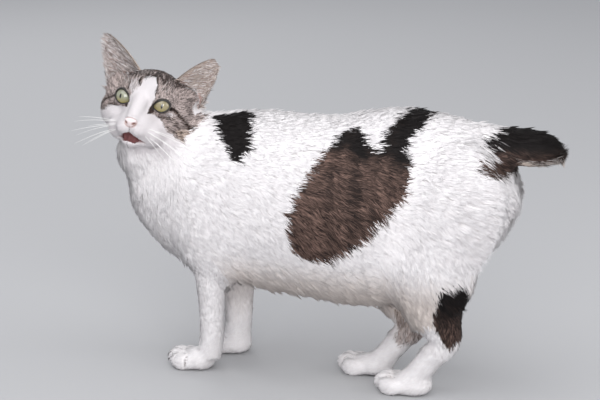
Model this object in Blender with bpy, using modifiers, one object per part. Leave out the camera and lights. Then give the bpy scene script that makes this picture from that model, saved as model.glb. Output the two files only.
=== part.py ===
"""A life-size standing bobtail cat in its coat, looking round over its left shoulder.

Metres, +Z up. The cat faces -X and its left side is towards -Y. When all is made it is moved so
that its box is centred and its soles stand on z = 0.
"""

import math

import bmesh
import bpy
import numpy as np
from mathutils import Euler, Matrix, Vector

# The joint that touching pieces keep between them.
GAP = 0.0003

# Fineness of the clay: coarse passes for the trunk and the skull, a fine pass for the whole cat.
TRUNK_VOXEL = 0.0045
TRUNK_ROUNDS = 24
SKULL_VOXEL = 0.0025
SKULL_ROUNDS = 14
WHOLE_VOXEL = 0.0015
WHOLE_ROUNDS = 5
FIRST_TRIANGLES = 16000
BODY_TRIANGLES = 7800

# Heights of the standing cat, over the coat.
WITHERS = 0.277
RUMP = 0.297
HALF_GIRTH = 0.069

# Where each paw stands, as the middle of its sole.
FRONT_LEFT = (-0.1170, -0.031)
FRONT_RIGHT = (-0.1030, 0.035)
HIND_LEFT = (0.1180, -0.025)
HIND_RIGHT = (0.0600, 0.020)

# The floor, in the level that the heights here are measured from, and the upright of both forearms.
FLOOR = -0.0054
ARM_X = -0.0957
HOCK_BEHIND = 0.0455
HEEL_BACK = {-1: 0.0, 1: 0.0075}

# The head's own frame has its origin between the ears' roots and the jaw, with the nose towards -X.
HEAD_CENTRE = Vector((-0.1732, -0.0220, 0.2776))
HEAD_YAW = math.radians(98.4)
HEAD_PITCH = math.radians(10.3)
HEAD_ROLL = math.radians(11.1)
HEAD_SCALE = 0.94
EYE_RADIUS = 0.0115
EYE_CENTRE = Vector((-0.0215, 0.0220, 0.0040))
EYE_TURN = math.radians(13)
LID = 0.0020
NOSE_CENTRE = Vector((-0.0545, 0.0, -0.0192))
LIP_TOP = -0.0325
LIP_FALL = 0.60

HEAD = (
    Matrix.Translation(HEAD_CENTRE)
    @ Matrix.Rotation(HEAD_YAW, 4, "Z")
    @ Matrix.Rotation(HEAD_PITCH, 4, "Y")
    @ Matrix.Rotation(HEAD_ROLL, 4, "X")
    @ Matrix.Scale(HEAD_SCALE, 4)
)
WORLD = Matrix.Identity(4)
SIDES = {"left": -1, "right": 1}


# Tools of the workshop

def collection(name):
    made = bpy.data.collections.new(name)
    bpy.context.scene.collection.children.link(made)
    return made


def material(name, colour, roughness):
    made = bpy.data.materials.new(name)
    made.use_nodes = True
    shader = made.node_tree.nodes["Principled BSDF"]
    shader.inputs["Base Color"].default_value = (*colour, 1.0)
    shader.inputs["Roughness"].default_value = roughness
    shader.inputs["Metallic"].default_value = 0.0
    made.diffuse_color = (*colour, 1.0)
    return made


def object_of(bm, name, where):
    """A new object that holds this bmesh, in the given collection."""
    mesh = bpy.data.meshes.new(name)
    bm.to_mesh(mesh)
    bm.free()
    made = bpy.data.objects.new(name, mesh)
    where.objects.link(made)
    return made


def settle(obj):
    """Bakes an object's modifiers into its mesh."""
    bpy.context.view_layer.update()
    graph = bpy.context.evaluated_depsgraph_get()
    mesh = bpy.data.meshes.new_from_object(obj.evaluated_get(graph))
    obj.modifiers.clear()
    obj.data = mesh
    return obj


def discard(obj):
    bpy.data.objects.remove(obj)


def hide(cutter):
    """Marks an object as a cutter, which is no part of the cat."""
    cutter.hide_render = True
    cutter.display_type = "WIRE"
    return cutter


def ball(bm, centre, radii, turn=(0, 0, 0), frame=WORLD, segments=32, rings=18):
    """An ellipsoid of clay. The turn is in degrees about X, Y and Z."""
    angles = Euler([math.radians(a) for a in turn])
    place = Matrix.LocRotScale(Vector(centre), angles, Vector(radii))
    bmesh.ops.create_uvsphere(bm, u_segments=segments, v_segments=rings, radius=1.0, matrix=frame @ place)


def smooth_line(stations, steps=6):
    """A Catmull-Rom curve through rows of numbers, with this many steps between two rows."""
    rows = np.array(stations, float)
    padded = np.vstack([2 * rows[0] - rows[1], rows, 2 * rows[-1] - rows[-2]])
    made = []
    for i in range(1, len(padded) - 2):
        a, b, c, d = padded[i - 1:i + 3]
        for t in np.linspace(0, 1, steps, endpoint=False):
            made.append(0.5 * (2 * b + (c - a) * t + (2 * a - 5 * b + 4 * c - d) * t ** 2
                               + (3 * b - a - 3 * c + d) * t ** 3))
    return np.array(made + [rows[-1]])


def skin_rings(bm, rings):
    """Closes a row of equal rings of points into one solid."""
    made = [[bm.verts.new(point) for point in ring] for ring in rings]
    count = len(made[0])
    for low, high in zip(made, made[1:]):
        for i in range(count):
            j = (i + 1) % count
            bm.faces.new((low[i], low[j], high[j], high[i]))
    bm.faces.new(reversed(made[0]))
    bm.faces.new(made[-1])


def limb(bm, stations, frame=WORLD, sides=24):
    """A loft through stations of x, y, z, half width, reach above and reach below its line."""
    rows = smooth_line(stations)
    points = rows[:, :3]
    ways = np.gradient(points, axis=0)
    rings = []
    for point, way, (wide, above, below) in zip(points, ways, rows[:, 3:]):
        way = Vector(way).normalized()
        side = Vector((0, 1, 0))
        side = (side - way * side.dot(way)).normalized()
        up = side.cross(way)
        ring = []
        for i in range(sides):
            angle = 2 * math.pi * i / sides
            high = max(above if math.sin(angle) > 0 else below, 0.0005)
            across = max(wide, 0.0005) * math.cos(angle)
            ring.append(frame @ (Vector(point) + side * across + up * (high * math.sin(angle))))
        rings.append(ring)
    skin_rings(bm, rings)


def blend_clay(bm, name, voxel, rounds, where):
    """Fuses overlapping clay into one skin and softens its creases."""
    bmesh.ops.recalc_face_normals(bm, faces=bm.faces)
    obj = object_of(bm, name, where)
    remesh = obj.modifiers.new("fuse", "REMESH")
    remesh.mode = "VOXEL"
    remesh.voxel_size = voxel
    soften = obj.modifiers.new("soften", "SMOOTH")
    soften.factor = 0.5
    soften.iterations = rounds
    return settle(obj)


def cut_away(obj, cutters):
    """Cuts each of the cutters out of the object, one after another."""
    for cutter in cutters:
        cut = obj.modifiers.new(cutter.name, "BOOLEAN")
        cut.operation = "DIFFERENCE"
        cut.solver = "EXACT"
        cut.object = cutter
    return settle(obj)


def saw(name, rows, where, frame=WORLD):
    """A thin bent plate through rows of points, which parts what it passes through."""
    bm = bmesh.new()
    grid = [[bm.verts.new(frame @ Vector(point)) for point in row] for row in rows]
    for low, high in zip(grid, grid[1:]):
        for i in range(len(low) - 1):
            bm.faces.new((low[i], low[i + 1], high[i + 1], high[i]))
    plate = object_of(bm, name, where)
    thicken = plate.modifiers.new("thicken", "SOLIDIFY")
    thicken.thickness = GAP
    thicken.offset = 0.0
    thicken.use_even_offset = True
    return hide(settle(plate))


# The trunk

def add_torso(bm):
    """The barrel of the body, from the brisket to the root of the tail."""
    line = [
        # x, z of the back, z of the belly, half width
        (-0.198, 0.205, 0.158, 0.018),
        (-0.182, 0.225, 0.136, 0.038),
        (-0.152, 0.248, 0.114, 0.052),
        (-0.105, WITHERS - 0.006, 0.098, 0.061),
        (-0.050, WITHERS, 0.088, 0.065),
        (0.000, WITHERS - 0.001, 0.086, HALF_GIRTH),
        (0.045, 0.279, 0.081, HALF_GIRTH - 0.001),
        (0.090, 0.289, 0.087, 0.064),
        (0.132, RUMP, 0.106, 0.061),
        (0.168, 0.293, 0.136, 0.056),
        (0.200, 0.282, 0.168, 0.044),
        (0.222, 0.262, 0.200, 0.025),
    ]
    stations = []
    for x, back, belly, wide in line:
        middle = 0.5 * (back + belly)
        stations.append((x, 0, middle, wide, back - middle, middle - belly))
    limb(bm, stations)


def add_neck(bm):
    limb(bm, [
        (-0.050, 0.000, 0.205, 0.050, 0.062, 0.080),
        (-0.095, 0.000, 0.212, 0.050, 0.062, 0.085),
        (-0.128, 0.000, 0.222, 0.048, 0.050, 0.072),
        (-0.155, -0.001, 0.240, 0.045, 0.042, 0.052),
        (-0.172, -0.004, 0.262, 0.040, 0.036, 0.042),
    ])
    ball(bm, (-0.160, -0.004, 0.195), (0.045, 0.044, 0.058), (0, 8, 0))
    ball(bm, (-0.180, -0.016, 0.232), (0.033, 0.036, 0.040))


def add_haunches(bm):
    for side, forward in ((-1, 0.0), (1, 0.014)):
        ball(bm, (0.161 - forward, side * 0.038, 0.194), (0.058, 0.032, 0.080), (0, 18, 0))
        ball(bm, (0.146 - 1.5 * forward, side * 0.040, 0.146), (0.054, 0.028, 0.062), (0, -22, 0))
        ball(bm, (-0.100, side * 0.036, 0.165), (0.045, 0.030, 0.072), (0, -12, 0))


# The limbs below the trunk

def add_paw(bm, x, y, wide, reach):
    """The flat of the foot, which reaches this far behind (x, y), and its four toes in front."""
    half_pad = 0.5 * (reach + 0.015)
    ball(bm, (x + reach - half_pad, y, FLOOR + 0.0100), (half_pad, wide, 0.0135))
    toes = (
        # along, across as a share of the width, half length, half width, height
        (-0.0120, -0.78, 0.0130, 0.0062, 0.0084),
        (-0.0180, -0.26, 0.0145, 0.0063, 0.0096),
        (-0.0180, 0.26, 0.0145, 0.0063, 0.0096),
        (-0.0120, 0.78, 0.0130, 0.0062, 0.0084),
    )
    for along, across, half_long, half_wide, high in toes:
        ball(bm, (x + along, y + across * wide, FLOOR + high), (half_long, half_wide, high + 0.0015),
             (0, 10, across * 14))


def add_foreleg(bm, x, y, side):
    """Forearm and paw, from under the shoulder down to where the paw stands."""
    stations = []
    for height, out, ahead, wide, front, back in (
        (0.150, 0.004, 0.002, 0.024, 0.030, 0.030),
        (0.115, 0.002, 0.000, 0.020, 0.023, 0.022),
        (0.080, 0.001, 0.000, 0.0165, 0.0185, 0.0175),
        (0.050, 0.000, 0.000, 0.0155, 0.0165, 0.0160),
        (0.028, 0.000, -0.001, 0.0155, 0.0155, 0.0155),
        (0.009, 0.000, -0.004, 0.0155, 0.0150, 0.0160),
    ):
        stations.append((ARM_X + ahead, y + side * out, height, wide, front, back))
    limb(bm, stations)
    add_paw(bm, x, y, 0.0190, 0.0220)


def add_hind_leg(bm, x, y, side):
    """Shank, hock and steep hind foot, standing with the paw's sole about x."""
    hock = x + HOCK_BEHIND
    stations = []
    for behind, out, height, wide, front, back in (
        (-0.020, 0.012, 0.150, 0.029, 0.044, 0.046),
        (-0.019, 0.009, 0.104, 0.024, 0.034, 0.040),
        (-0.009, 0.004, 0.076, 0.0185, 0.0215, 0.0275),
        (-0.002, 0.000, 0.056, 0.0150, 0.0160, 0.0170),
        (-0.015, 0.000, 0.036, 0.0140, 0.0160, 0.0130),
        (-0.030, 0.000, 0.0175, 0.0145, 0.0140, 0.0130),
        (-0.043, 0.000, 0.0070, 0.0155, 0.0125, 0.0115),
    ):
        heel = HEEL_BACK[side] if height < 0.070 else 0.0
        stations.append((hock + behind + heel, y + side * out, height, wide, front, back))
    limb(bm, stations)
    add_paw(bm, x, y, 0.0185, 0.0310)


def add_tail(bm):
    """The bobbed tail: a short brush carried level."""
    limb(bm, [
        (0.185, 0, 0.252, 0.028, 0.026, 0.030),
        (0.210, 0, 0.256, 0.022, 0.022, 0.024),
        (0.232, 0, 0.258, 0.0200, 0.0190, 0.0205),
        (0.250, 0, 0.257, 0.0175, 0.0160, 0.0180),
        (0.262, 0, 0.254, 0.0120, 0.0110, 0.0125),
        (0.268, 0, 0.251, 0.0030, 0.0030, 0.0030),
    ])


# The head

def eye_centre(side):
    return Vector((EYE_CENTRE.x, side * EYE_CENTRE.y, EYE_CENTRE.z))


def add_skull(bm):
    """The broad masses of the skull, cheeks and muzzle, in the head's own frame."""
    def mass(centre, radii, turn=(0, 0, 0)):
        ball(bm, centre, radii, turn, HEAD)

    mass((0.007, 0, 0.004), (0.043, 0.0400, 0.0355))
    mass((-0.011, 0, 0.013), (0.028, 0.0330, 0.0225), (0, -12, 0))
    mass((0.010, 0, -0.014), (0.037, 0.0390, 0.0310))
    mass((-0.0315, 0, -0.0175), (0.0240, 0.0195, 0.0155), (0, -10, 0))
    mass((-0.0350, 0, -0.0400), (0.0150, 0.0130, 0.0105), (0, 10, 0))
    for side in (-1, 1):
        mass((0.002, side * 0.0290, -0.0125), (0.0285, 0.0255, 0.0265), (0, 0, -side * 14))
        mass((-0.0180, side * 0.0160, -0.0310), (0.0260, 0.0160, 0.0160), (0, 6, -side * 20))
        mass((0.016, side * 0.0350, 0.0150), (0.0180, 0.0150, 0.0120))
        mass((-0.0410, side * 0.0085, -0.0265), (0.0140, 0.0110, 0.0100), (0, 0, -side * 16))


def add_features(bm):
    """The sharper forms of the face: bridge of the nose, whisker pads, chin and lids."""
    limb(bm, [
        (-0.018, 0, 0.0155, 0.0140, 0.0120, 0.0120),
        (-0.034, 0, 0.0035, 0.0100, 0.0100, 0.0100),
        (-0.048, 0, -0.0105, 0.0078, 0.0078, 0.0078),
        (-0.0550, 0, -0.0180, 0.0066, 0.0064, 0.0064),
    ], frame=HEAD)
    ball(bm, (-0.0405, 0, -0.0420), (0.0115, 0.0105, 0.0075), (0, 10, 0), HEAD)
    ball(bm, (0.0080, 0.0440, 0.0060), (0.0200, 0.0105, 0.0190), (0, 0, 0), HEAD)
    for side in (-1, 1):
        ball(bm, (-0.0470, side * 0.0078, -0.0272), (0.0108, 0.0088, 0.0082), (0, 0, -side * 16), HEAD)
        ball(bm, eye_centre(side), (EYE_RADIUS + LID,) * 3, frame=HEAD)


def whole_cat(workshop):
    """The cat as one skin, before it is parted."""
    trunk_clay = bmesh.new()
    add_torso(trunk_clay)
    add_neck(trunk_clay)
    add_haunches(trunk_clay)
    skull_clay = bmesh.new()
    add_skull(skull_clay)
    clay = bmesh.new()
    for mass in (blend_clay(trunk_clay, "trunk", TRUNK_VOXEL, TRUNK_ROUNDS, workshop),
                 blend_clay(skull_clay, "skull", SKULL_VOXEL, SKULL_ROUNDS, workshop)):
        clay.from_mesh(mass.data)
        discard(mass)
    add_foreleg(clay, *FRONT_LEFT, side=-1)
    add_foreleg(clay, *FRONT_RIGHT, side=1)
    add_hind_leg(clay, *HIND_LEFT, side=-1)
    add_hind_leg(clay, *HIND_RIGHT, side=1)
    add_tail(clay)
    add_features(clay)
    return blend_clay(clay, "cat", WHOLE_VOXEL, WHOLE_ROUNDS, workshop)


def stand_flat(cat):
    """Presses the soles flat on the floor."""
    for vertex in cat.data.vertices:
        vertex.co.z = max(vertex.co.z, FLOOR)


def thin_out(cat):
    """Fewer triangles: first everywhere, then only away from the face."""
    face = HEAD @ Vector((-0.025, 0, -0.010))
    for triangles in (FIRST_TRIANGLES, BODY_TRIANGLES):
        cat.vertex_groups.clear()
        group = cat.vertex_groups.new(name="face")
        group.add([v.index for v in cat.data.vertices if (v.co - face).length < 0.055], 1.0, "REPLACE")
        cat.data.calc_loop_triangles()
        thin = cat.modifiers.new("thin out", "DECIMATE")
        thin.ratio = triangles / len(cat.data.loop_triangles)
        if triangles == BODY_TRIANGLES:
            thin.vertex_group = group.name
            thin.invert_vertex_group = True
        settle(cat)


# Details of the face

def gaze(side):
    """The frame of one eye: X looks out of it and Z is up."""
    return HEAD @ Matrix.Translation(eye_centre(side)) @ Matrix.Rotation(math.pi - side * EYE_TURN, 4, "Z")


def almond(width, height, count=28):
    """The outline between the lids, with its inner corner drawn down a little."""
    points = []
    for i in range(count):
        angle = 2 * math.pi * i / count
        across = math.cos(angle)
        high = math.sin(angle) * (1 - 0.28 * across * across)
        points.append((0.5 * width * across, 0.5 * height * high - 0.0012 * abs(across) ** 3))
    return points


def eye_opening(side, where):
    """The wedge that opens the lids in front of the eyeball."""
    bm = bmesh.new()
    rings = []
    for reach, spread in ((0.003, 0.92), (EYE_RADIUS - 0.001, 1.0), (EYE_RADIUS + 0.006, 1.28)):
        ring = []
        for across, up in almond(0.0185, 0.0150):
            tilt = 0.12 * across * side
            ring.append(gaze(side) @ Vector((reach, across * spread, (up - tilt) * spread)))
        rings.append(ring)
    skin_rings(bm, rings)
    bmesh.ops.recalc_face_normals(bm, faces=bm.faces)
    return hide(object_of(bm, "lids", where))


def add_face_cutters(where):
    for side in (-1, 1):
        bm = bmesh.new()
        ball(bm, eye_centre(side), (EYE_RADIUS + GAP,) * 3, frame=HEAD, segments=24, rings=14)
        hide(object_of(bm, "socket", where))
        eye_opening(side, where)
    bm = bmesh.new()
    ball(bm, NOSE_CENTRE, (0.0052 + GAP, 0.0070 + GAP, 0.0046 + GAP), (0, -18, 0), HEAD, 20, 12)
    hide(object_of(bm, "nose seat", where))
    for side in (-1, 1):
        bm = bmesh.new()
        ball(bm, (-0.0530, side * 0.0064, LIP_TOP - 0.0062), (0.0115, 0.0092, 0.0025), (-side * 30, -4, 0),
             HEAD, 24, 12)
        hide(object_of(bm, "parted lips", where))


def add_jaw_saw(where):
    """The line of the mouth, falling to both corners, then down behind the chin."""
    rows = []
    for along, lower in ((-0.080, 0.0), (-0.045, 0.0), (-0.036, 0.001), (-0.029, 0.009), (-0.025, 0.030)):
        row = []
        for across in (-0.060, -0.022, -0.011, 0.0, 0.011, 0.022, 0.060):
            fall = LIP_FALL * min(abs(across), 0.022) + 0.15 * abs(across)
            row.append((along, across, LIP_TOP - 0.0015 - fall - lower))
        rows.append(row)
    saw("mouth line", rows, where, HEAD)


# Where the cat is parted

def flat_saw(name, centre, along, across, half_along, half_across, where, frame=WORLD):
    """A flat plate about a centre, spread along two directions."""
    centre, along, across = Vector(centre), Vector(along).normalized(), Vector(across).normalized()
    rows = []
    for a in (-half_along, half_along):
        rows.append([centre + along * a + across * b for b in (-half_across, half_across)])
    saw(name, rows, where, frame)


def bent_saw(name, line, ways, side, where):
    """A plate bent along x, z stations, sloping outwards and up from the middle of the cat."""
    rows = []
    for x, drop in line:
        rows.append([(x, side * out, high - drop) for out, high in ways])
    saw(name, rows, where)


def add_saws(where):
    flat_saw("neck root", (-0.150, 0, 0.225), (0.66, 0, 0.75), (0, 1, 0), 0.115, 0.09, where)
    flat_saw("nape", (0.0075, 0.0055, -0.0300), (0.79, 0, 0.61), (0, 1, 0), 0.070, 0.080, where, HEAD)
    tail_line = ((0.203, 0.300), (0.222, 0.250), (0.238, 0.226), (0.262, 0.212))
    saw("tail root", [[(x, y, z) for y in (-0.034, 0.034)] for x, z in tail_line], where)
    add_jaw_saw(where)
    shoulder = ((0.004, 0.082), (0.095, 0.152))
    haunch = ((0.003, 0.077), (0.100, 0.196))
    for side, fore, hind, thigh_front in (
        (-1, FRONT_LEFT, HIND_LEFT, 0.092),
        (1, FRONT_RIGHT, HIND_RIGHT, 0.050),
    ):
        bent_saw("shoulder", ((ARM_X - 0.11, -0.02), (ARM_X + 0.012, 0.0), (ARM_X + 0.030, 0.028),
                              (ARM_X + 0.038, 0.10)), shoulder, side, where)
        bent_saw("haunch", ((0.272 + 0.004 * side, -0.02), (thigh_front + 0.020, 0.0), (thigh_front, 0.030),
                            (thigh_front - 0.010, 0.062)), haunch, side, where)
        flat_saw("wrist", (ARM_X - 0.002, fore[1], 0.030), (1, 0, 0.12), (0, 1, 0), 0.026, 0.026, where)
        hock = hind[0] + HOCK_BEHIND
        knee = 0.080 if side < 0 else 0.071
        flat_saw("knee", (hock - 0.012, hind[1] + side * 0.004, knee), (1, 0, 0.18), (0, 1, 0), 0.050, 0.030, where)
        flat_saw("hock", (hock - 0.002, hind[1], 0.041), (1, 0, -0.30), (0, 1, 0), 0.030, 0.024, where)


def loose_parts(obj, where):
    """Splits an object into one object for each closed body."""
    bm = bmesh.new()
    bm.from_mesh(obj.data)
    bodies = []
    left = set(bm.verts)
    while left:
        body = set()
        front = [left.pop()]
        while front:
            vertex = front.pop()
            body.add(vertex)
            for edge in vertex.link_edges:
                other = edge.other_vert(vertex)
                if other in left:
                    left.discard(other)
                    front.append(other)
        bodies.append(body)
    made = []
    for body in bodies:
        piece = bmesh.new()
        copies = {vertex: piece.verts.new(vertex.co) for vertex in body}
        faces = {face for vertex in body for face in vertex.link_faces}
        for face in faces:
            piece.faces.new([copies[vertex] for vertex in face.verts])
        made.append(object_of(piece, "piece", where))
    bm.free()
    return made


def box_of(obj):
    points = np.array([vertex.co[:] for vertex in obj.data.vertices])
    return points.min(axis=0), points.max(axis=0)


def part_along(cat, plates, where):
    """Parts the cat along each plate in turn, one closed body at a time."""
    bodies = [cat]
    for plate in plates:
        plate_low, plate_high = box_of(plate)
        parted = []
        for body in bodies:
            low, high = box_of(body)
            if (low > plate_high).any() or (high < plate_low).any():
                parted.append(body)
                continue
            parted += loose_parts(cut_away(body, [plate]), where)
            discard(body)
        bodies = parted
    return bodies


def middle(obj):
    return sum((vertex.co for vertex in obj.data.vertices), Vector()) / len(obj.data.vertices)


def label(pieces):
    """Names each piece after the nearest labelled spot of the cat."""
    spots = {
        "torso": Vector((0.02, 0, 0.19)),
        "neck": Vector((-0.165, -0.005, 0.235)),
        "head": HEAD @ Vector((-0.02, 0, 0.0)),
        "jaw": HEAD @ Vector((-0.037, 0, -0.047)),
        "tail": Vector((0.240, 0, 0.255)),
    }
    legs = {"left": (FRONT_LEFT, HIND_LEFT), "right": (FRONT_RIGHT, HIND_RIGHT)}
    for name, (fore, hind) in legs.items():
        spots["foreleg_" + name] = Vector((ARM_X, fore[1], 0.080))
        spots["front_paw_" + name] = Vector((*fore, 0.010))
        spots["thigh_" + name] = Vector((hind[0] + 0.030, 1.2 * hind[1], 0.135))
        spots["shank_" + name] = Vector((hind[0] + 0.042, hind[1], 0.060))
        spots["hind_foot_" + name] = Vector((hind[0] + 0.010, hind[1], 0.015))
    for piece in sorted(pieces, key=lambda piece: -len(piece.data.polygons)):
        if not spots:
            print("STRAY", len(piece.data.polygons), [round(c, 3) for c in middle(piece)])
            piece.name = "torso"
            continue
        name = min(spots, key=lambda key: (spots[key] - middle(piece)).length)
        print("piece", name, len(piece.data.polygons), [round(c, 3) for c in middle(piece)])
        piece.name = name
        spots.pop(name)
    print("no piece for", list(spots))
    return pieces


# Separate pieces of the face

def eyeball(side, where):
    """A ball with the clear bulge of the cornea in front."""
    bm = bmesh.new()
    bmesh.ops.create_uvsphere(bm, u_segments=24, v_segments=14, radius=EYE_RADIUS)
    turn = Matrix.Rotation(math.pi / 2, 4, "Y")
    for vertex in bm.verts:
        vertex.co = turn @ vertex.co
        front = max(0.0, vertex.co.x / EYE_RADIUS - 0.72) / 0.28
        vertex.co.x += 0.0006 * front
        vertex.co = gaze(side) @ vertex.co
    bmesh.ops.recalc_face_normals(bm, faces=bm.faces)
    return object_of(bm, "eye", where)


def nose_pad(where, cutters):
    bm = bmesh.new()
    ball(bm, NOSE_CENTRE, (0.0052, 0.0070, 0.0046), (0, -18, 0), HEAD, 18, 12)
    nose = object_of(bm, "nose", where)
    for side in (-1, 1):
        bm = bmesh.new()
        ball(bm, (-0.0590, side * 0.0044, -0.0200), (0.0030, 0.0016, 0.0011), (side * 28, 0, 0), HEAD, 14, 8)
        cutter = hide(object_of(bm, "nostril", cutters))
        cut_away(nose, [cutter])
    return nose


# The ears stand wide: each is a curved blade with an open cup, in the head's own frame.
EAR_ROOT = Vector((0.013, 0.0400, 0.0200))
EAR_TIPS = {-1: Vector((0.014, 0.0610, 0.0670)), 1: Vector((0.014, 0.0712, 0.0640))}
EAR_OUTER = {-1: 0.70, 1: 1.0}
EAR_WIDTH = 0.0225
EAR_CUP = 0.0150
EAR_WALL = 0.0022


def ear(side, where):
    """A cupped ear from below its root to its tip."""
    root = EAR_ROOT - 0.30 * (EAR_TIPS[side] - EAR_ROOT)
    axis = EAR_TIPS[side] - root
    across = axis.cross(Vector((-1, 0.35, 0.0))).normalized()
    forward = across.cross(axis).normalized()
    inner, outer = [], []
    steps = 12
    for i in range(steps + 1):
        t = i / steps
        wide = EAR_WIDTH * max(1 - t ** 1.85, 0.0) ** 0.82 + 0.0018
        deep = EAR_CUP * max(1 - t ** 1.5, 0.0) ** 0.9 + 0.0006
        outer_share = EAR_OUTER[side] + (1 - EAR_OUTER[side]) * t ** 1.5
        for rows, wall in ((inner, 0.0), (outer, EAR_WALL * (1 - 0.45 * t))):
            row = []
            for j in range(13):
                angle = math.pi * j / 12
                spot = root + axis * t
                reach = (wide + wall * 0.5) * math.cos(angle)
                spot = spot + across * (reach if reach > 0 else reach * outer_share)
                spot = spot - forward * (deep + wall) * math.sin(angle)
                row.append(Vector((spot.x, side * spot.y, spot.z)))
            rows.append(row)
    rings = [low + high[::-1] for low, high in zip(inner, outer)]
    bm = bmesh.new()
    skin_rings(bm, [[HEAD @ point for point in ring] for ring in rings])
    bmesh.ops.recalc_face_normals(bm, faces=bm.faces)
    return object_of(bm, "ear", where)


def notch(where):
    """The small torn notch in the tip of the left ear."""
    tip = EAR_TIPS[-1] * Vector((1, -1, 1))
    bm = bmesh.new()
    ball(bm, tip + Vector((0, 0.002, 0.002)), (0.02, 0.0016, 0.0045), (-38, 0, 0), HEAD, 12, 8)
    return hide(object_of(bm, "notch", where))


def swollen(obj, where):
    """A copy that stands out from the skin by the joint's width."""
    copy = bpy.data.objects.new("swollen " + obj.name, obj.data.copy())
    where.objects.link(copy)
    swell = copy.modifiers.new("swell", "DISPLACE")
    swell.strength = GAP
    swell.mid_level = 0.0
    return hide(settle(copy))


def set_on_floor(parts):
    """Moves the cat so that its box is centred on the origin and its soles are at zero."""
    points = np.array([vertex.co[:] for part in parts for vertex in part.data.vertices])
    low, high = points.min(axis=0), points.max(axis=0)
    shift = Vector((-(low[0] + high[0]) / 2, -(low[1] + high[1]) / 2, -low[2]))
    for part in parts:
        part.data.transform(Matrix.Translation(shift))
    print("moved by", [round(c, 4) for c in shift], "size", np.round(high - low, 4))


COLOURS = {
    "head": (0.62, 0.55, 0.50), "jaw": (0.86, 0.82, 0.79), "nose": (0.72, 0.45, 0.42),
    "eye": (0.52, 0.55, 0.20), "ear": (0.42, 0.35, 0.32), "neck": (0.84, 0.82, 0.80),
    "torso": (0.80, 0.78, 0.76), "tail": (0.05, 0.04, 0.035), "foreleg": (0.86, 0.84, 0.83),
    "front_paw": (0.90, 0.87, 0.85), "thigh": (0.86, 0.84, 0.82), "shank": (0.30, 0.26, 0.24),
    "hind_foot": (0.88, 0.85, 0.83),
}


def main():
    for obj in list(bpy.data.objects):
        discard(obj)
    parts = collection("bobtail_cat")
    cutters = collection("cutters")
    face_cutters = collection("face cutters")
    saws = collection("saws")

    cat = whole_cat(parts)
    stand_flat(cat)
    thin_out(cat)
    print("thinned to", len(cat.data.polygons))
    swell = swollen(cat, cutters)
    add_face_cutters(face_cutters)
    cut_away(cat, face_cutters.objects)
    add_saws(saws)
    pieces = label(part_along(cat, saws.objects, parts))

    notch_cutter = notch(cutters)
    for name, side in SIDES.items():
        eye = eyeball(side, parts)
        eye.name = "eye_" + name
        made = ear(side, parts)
        made.name = "ear_" + name
        cut_away(made, [swell, notch_cutter] if name == "left" else [swell])
        pieces += [eye, made]
    nose = nose_pad(parts, cutters)
    pieces.append(nose)

    set_on_floor(pieces)
    for piece in pieces:
        kind = piece.name.replace("_left", "").replace("_right", "")
        piece.data.materials.clear()
        piece.data.materials.append(material(piece.name, COLOURS[kind], 0.25 if kind == "eye" else 0.9))


main()
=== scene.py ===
# %% [markdown]
# # A standing bobtail cat
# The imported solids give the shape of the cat, out to the tips of its coat. This lesson dresses them:
# one skin goes a few millimetres inside the solids, a coat of small tufts grows out of it, and the
# eyes, the nose and the whiskers are made as pieces of their own.

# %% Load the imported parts
import math

import bmesh
import bpy
import numpy as np
from mathutils import Matrix, Vector
from mathutils.bvhtree import BVHTree
from mathutils.kdtree import KDTree


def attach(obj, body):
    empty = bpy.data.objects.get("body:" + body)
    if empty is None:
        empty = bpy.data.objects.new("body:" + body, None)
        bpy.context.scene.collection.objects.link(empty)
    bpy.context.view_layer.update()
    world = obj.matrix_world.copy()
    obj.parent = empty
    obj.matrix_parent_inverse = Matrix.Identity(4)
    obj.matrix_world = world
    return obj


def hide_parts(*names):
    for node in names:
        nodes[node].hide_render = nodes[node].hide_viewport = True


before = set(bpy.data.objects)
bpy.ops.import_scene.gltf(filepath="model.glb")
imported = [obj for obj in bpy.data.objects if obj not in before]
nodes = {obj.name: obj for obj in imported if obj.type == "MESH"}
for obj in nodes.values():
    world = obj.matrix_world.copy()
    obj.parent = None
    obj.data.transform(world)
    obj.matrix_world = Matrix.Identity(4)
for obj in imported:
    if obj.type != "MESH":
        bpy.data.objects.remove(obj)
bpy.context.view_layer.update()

# %% [markdown]
# ## Where things are
# The cat faces -X and its left side is towards -Y. The markings were measured before the cat was
# centred on the floor, so MOVED is the small step between the two. The head is turned, so its details
# are easier to place in a frame of its own: there the nose points to -X and the crown to +Z.

# %% Frames of the body and the head
MOVED = np.array((-0.0174, 0.0058, 0.0055))
HEAD_PLACE = Vector((-0.1732, -0.0220, 0.2776))
HEAD_TURN = math.radians(98.4)
HEAD_NOD = math.radians(10.3)
HEAD_TILT = math.radians(11.1)
HEAD_SCALE = 0.94
HEAD = (
    Matrix.Translation(HEAD_PLACE + Vector(MOVED))
    @ Matrix.Rotation(HEAD_TURN, 4, "Z")
    @ Matrix.Rotation(HEAD_NOD, 4, "Y")
    @ Matrix.Rotation(HEAD_TILT, 4, "X")
    @ Matrix.Scale(HEAD_SCALE, 4)
)


def carried(matrix, points):
    """Points carried over by a 4 x 4 matrix."""
    grid = np.array(matrix)
    return np.asarray(points, float) @ grid[:3, :3].T + grid[:3, 3]


def turned(matrix, ways):
    """Directions turned by a 4 x 4 matrix."""
    return np.asarray(ways, float) @ np.array(matrix)[:3, :3].T


def in_head(points):
    """Points of the room, seen in the head's own frame."""
    return carried(HEAD.inverted(), points)


def from_head(points):
    """Points of the head's own frame, placed in the room."""
    return carried(HEAD, points)


def unit(vectors):
    """Vectors with their length made 1."""
    return vectors / np.maximum(np.linalg.norm(vectors, axis=-1, keepdims=True), 1e-9)


def step(low, high, values):
    """A soft step from 0 at low to 1 at high."""
    t = np.clip((values - low) / (high - low), 0, 1)
    return t * t * (3 - 2 * t)


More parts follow.
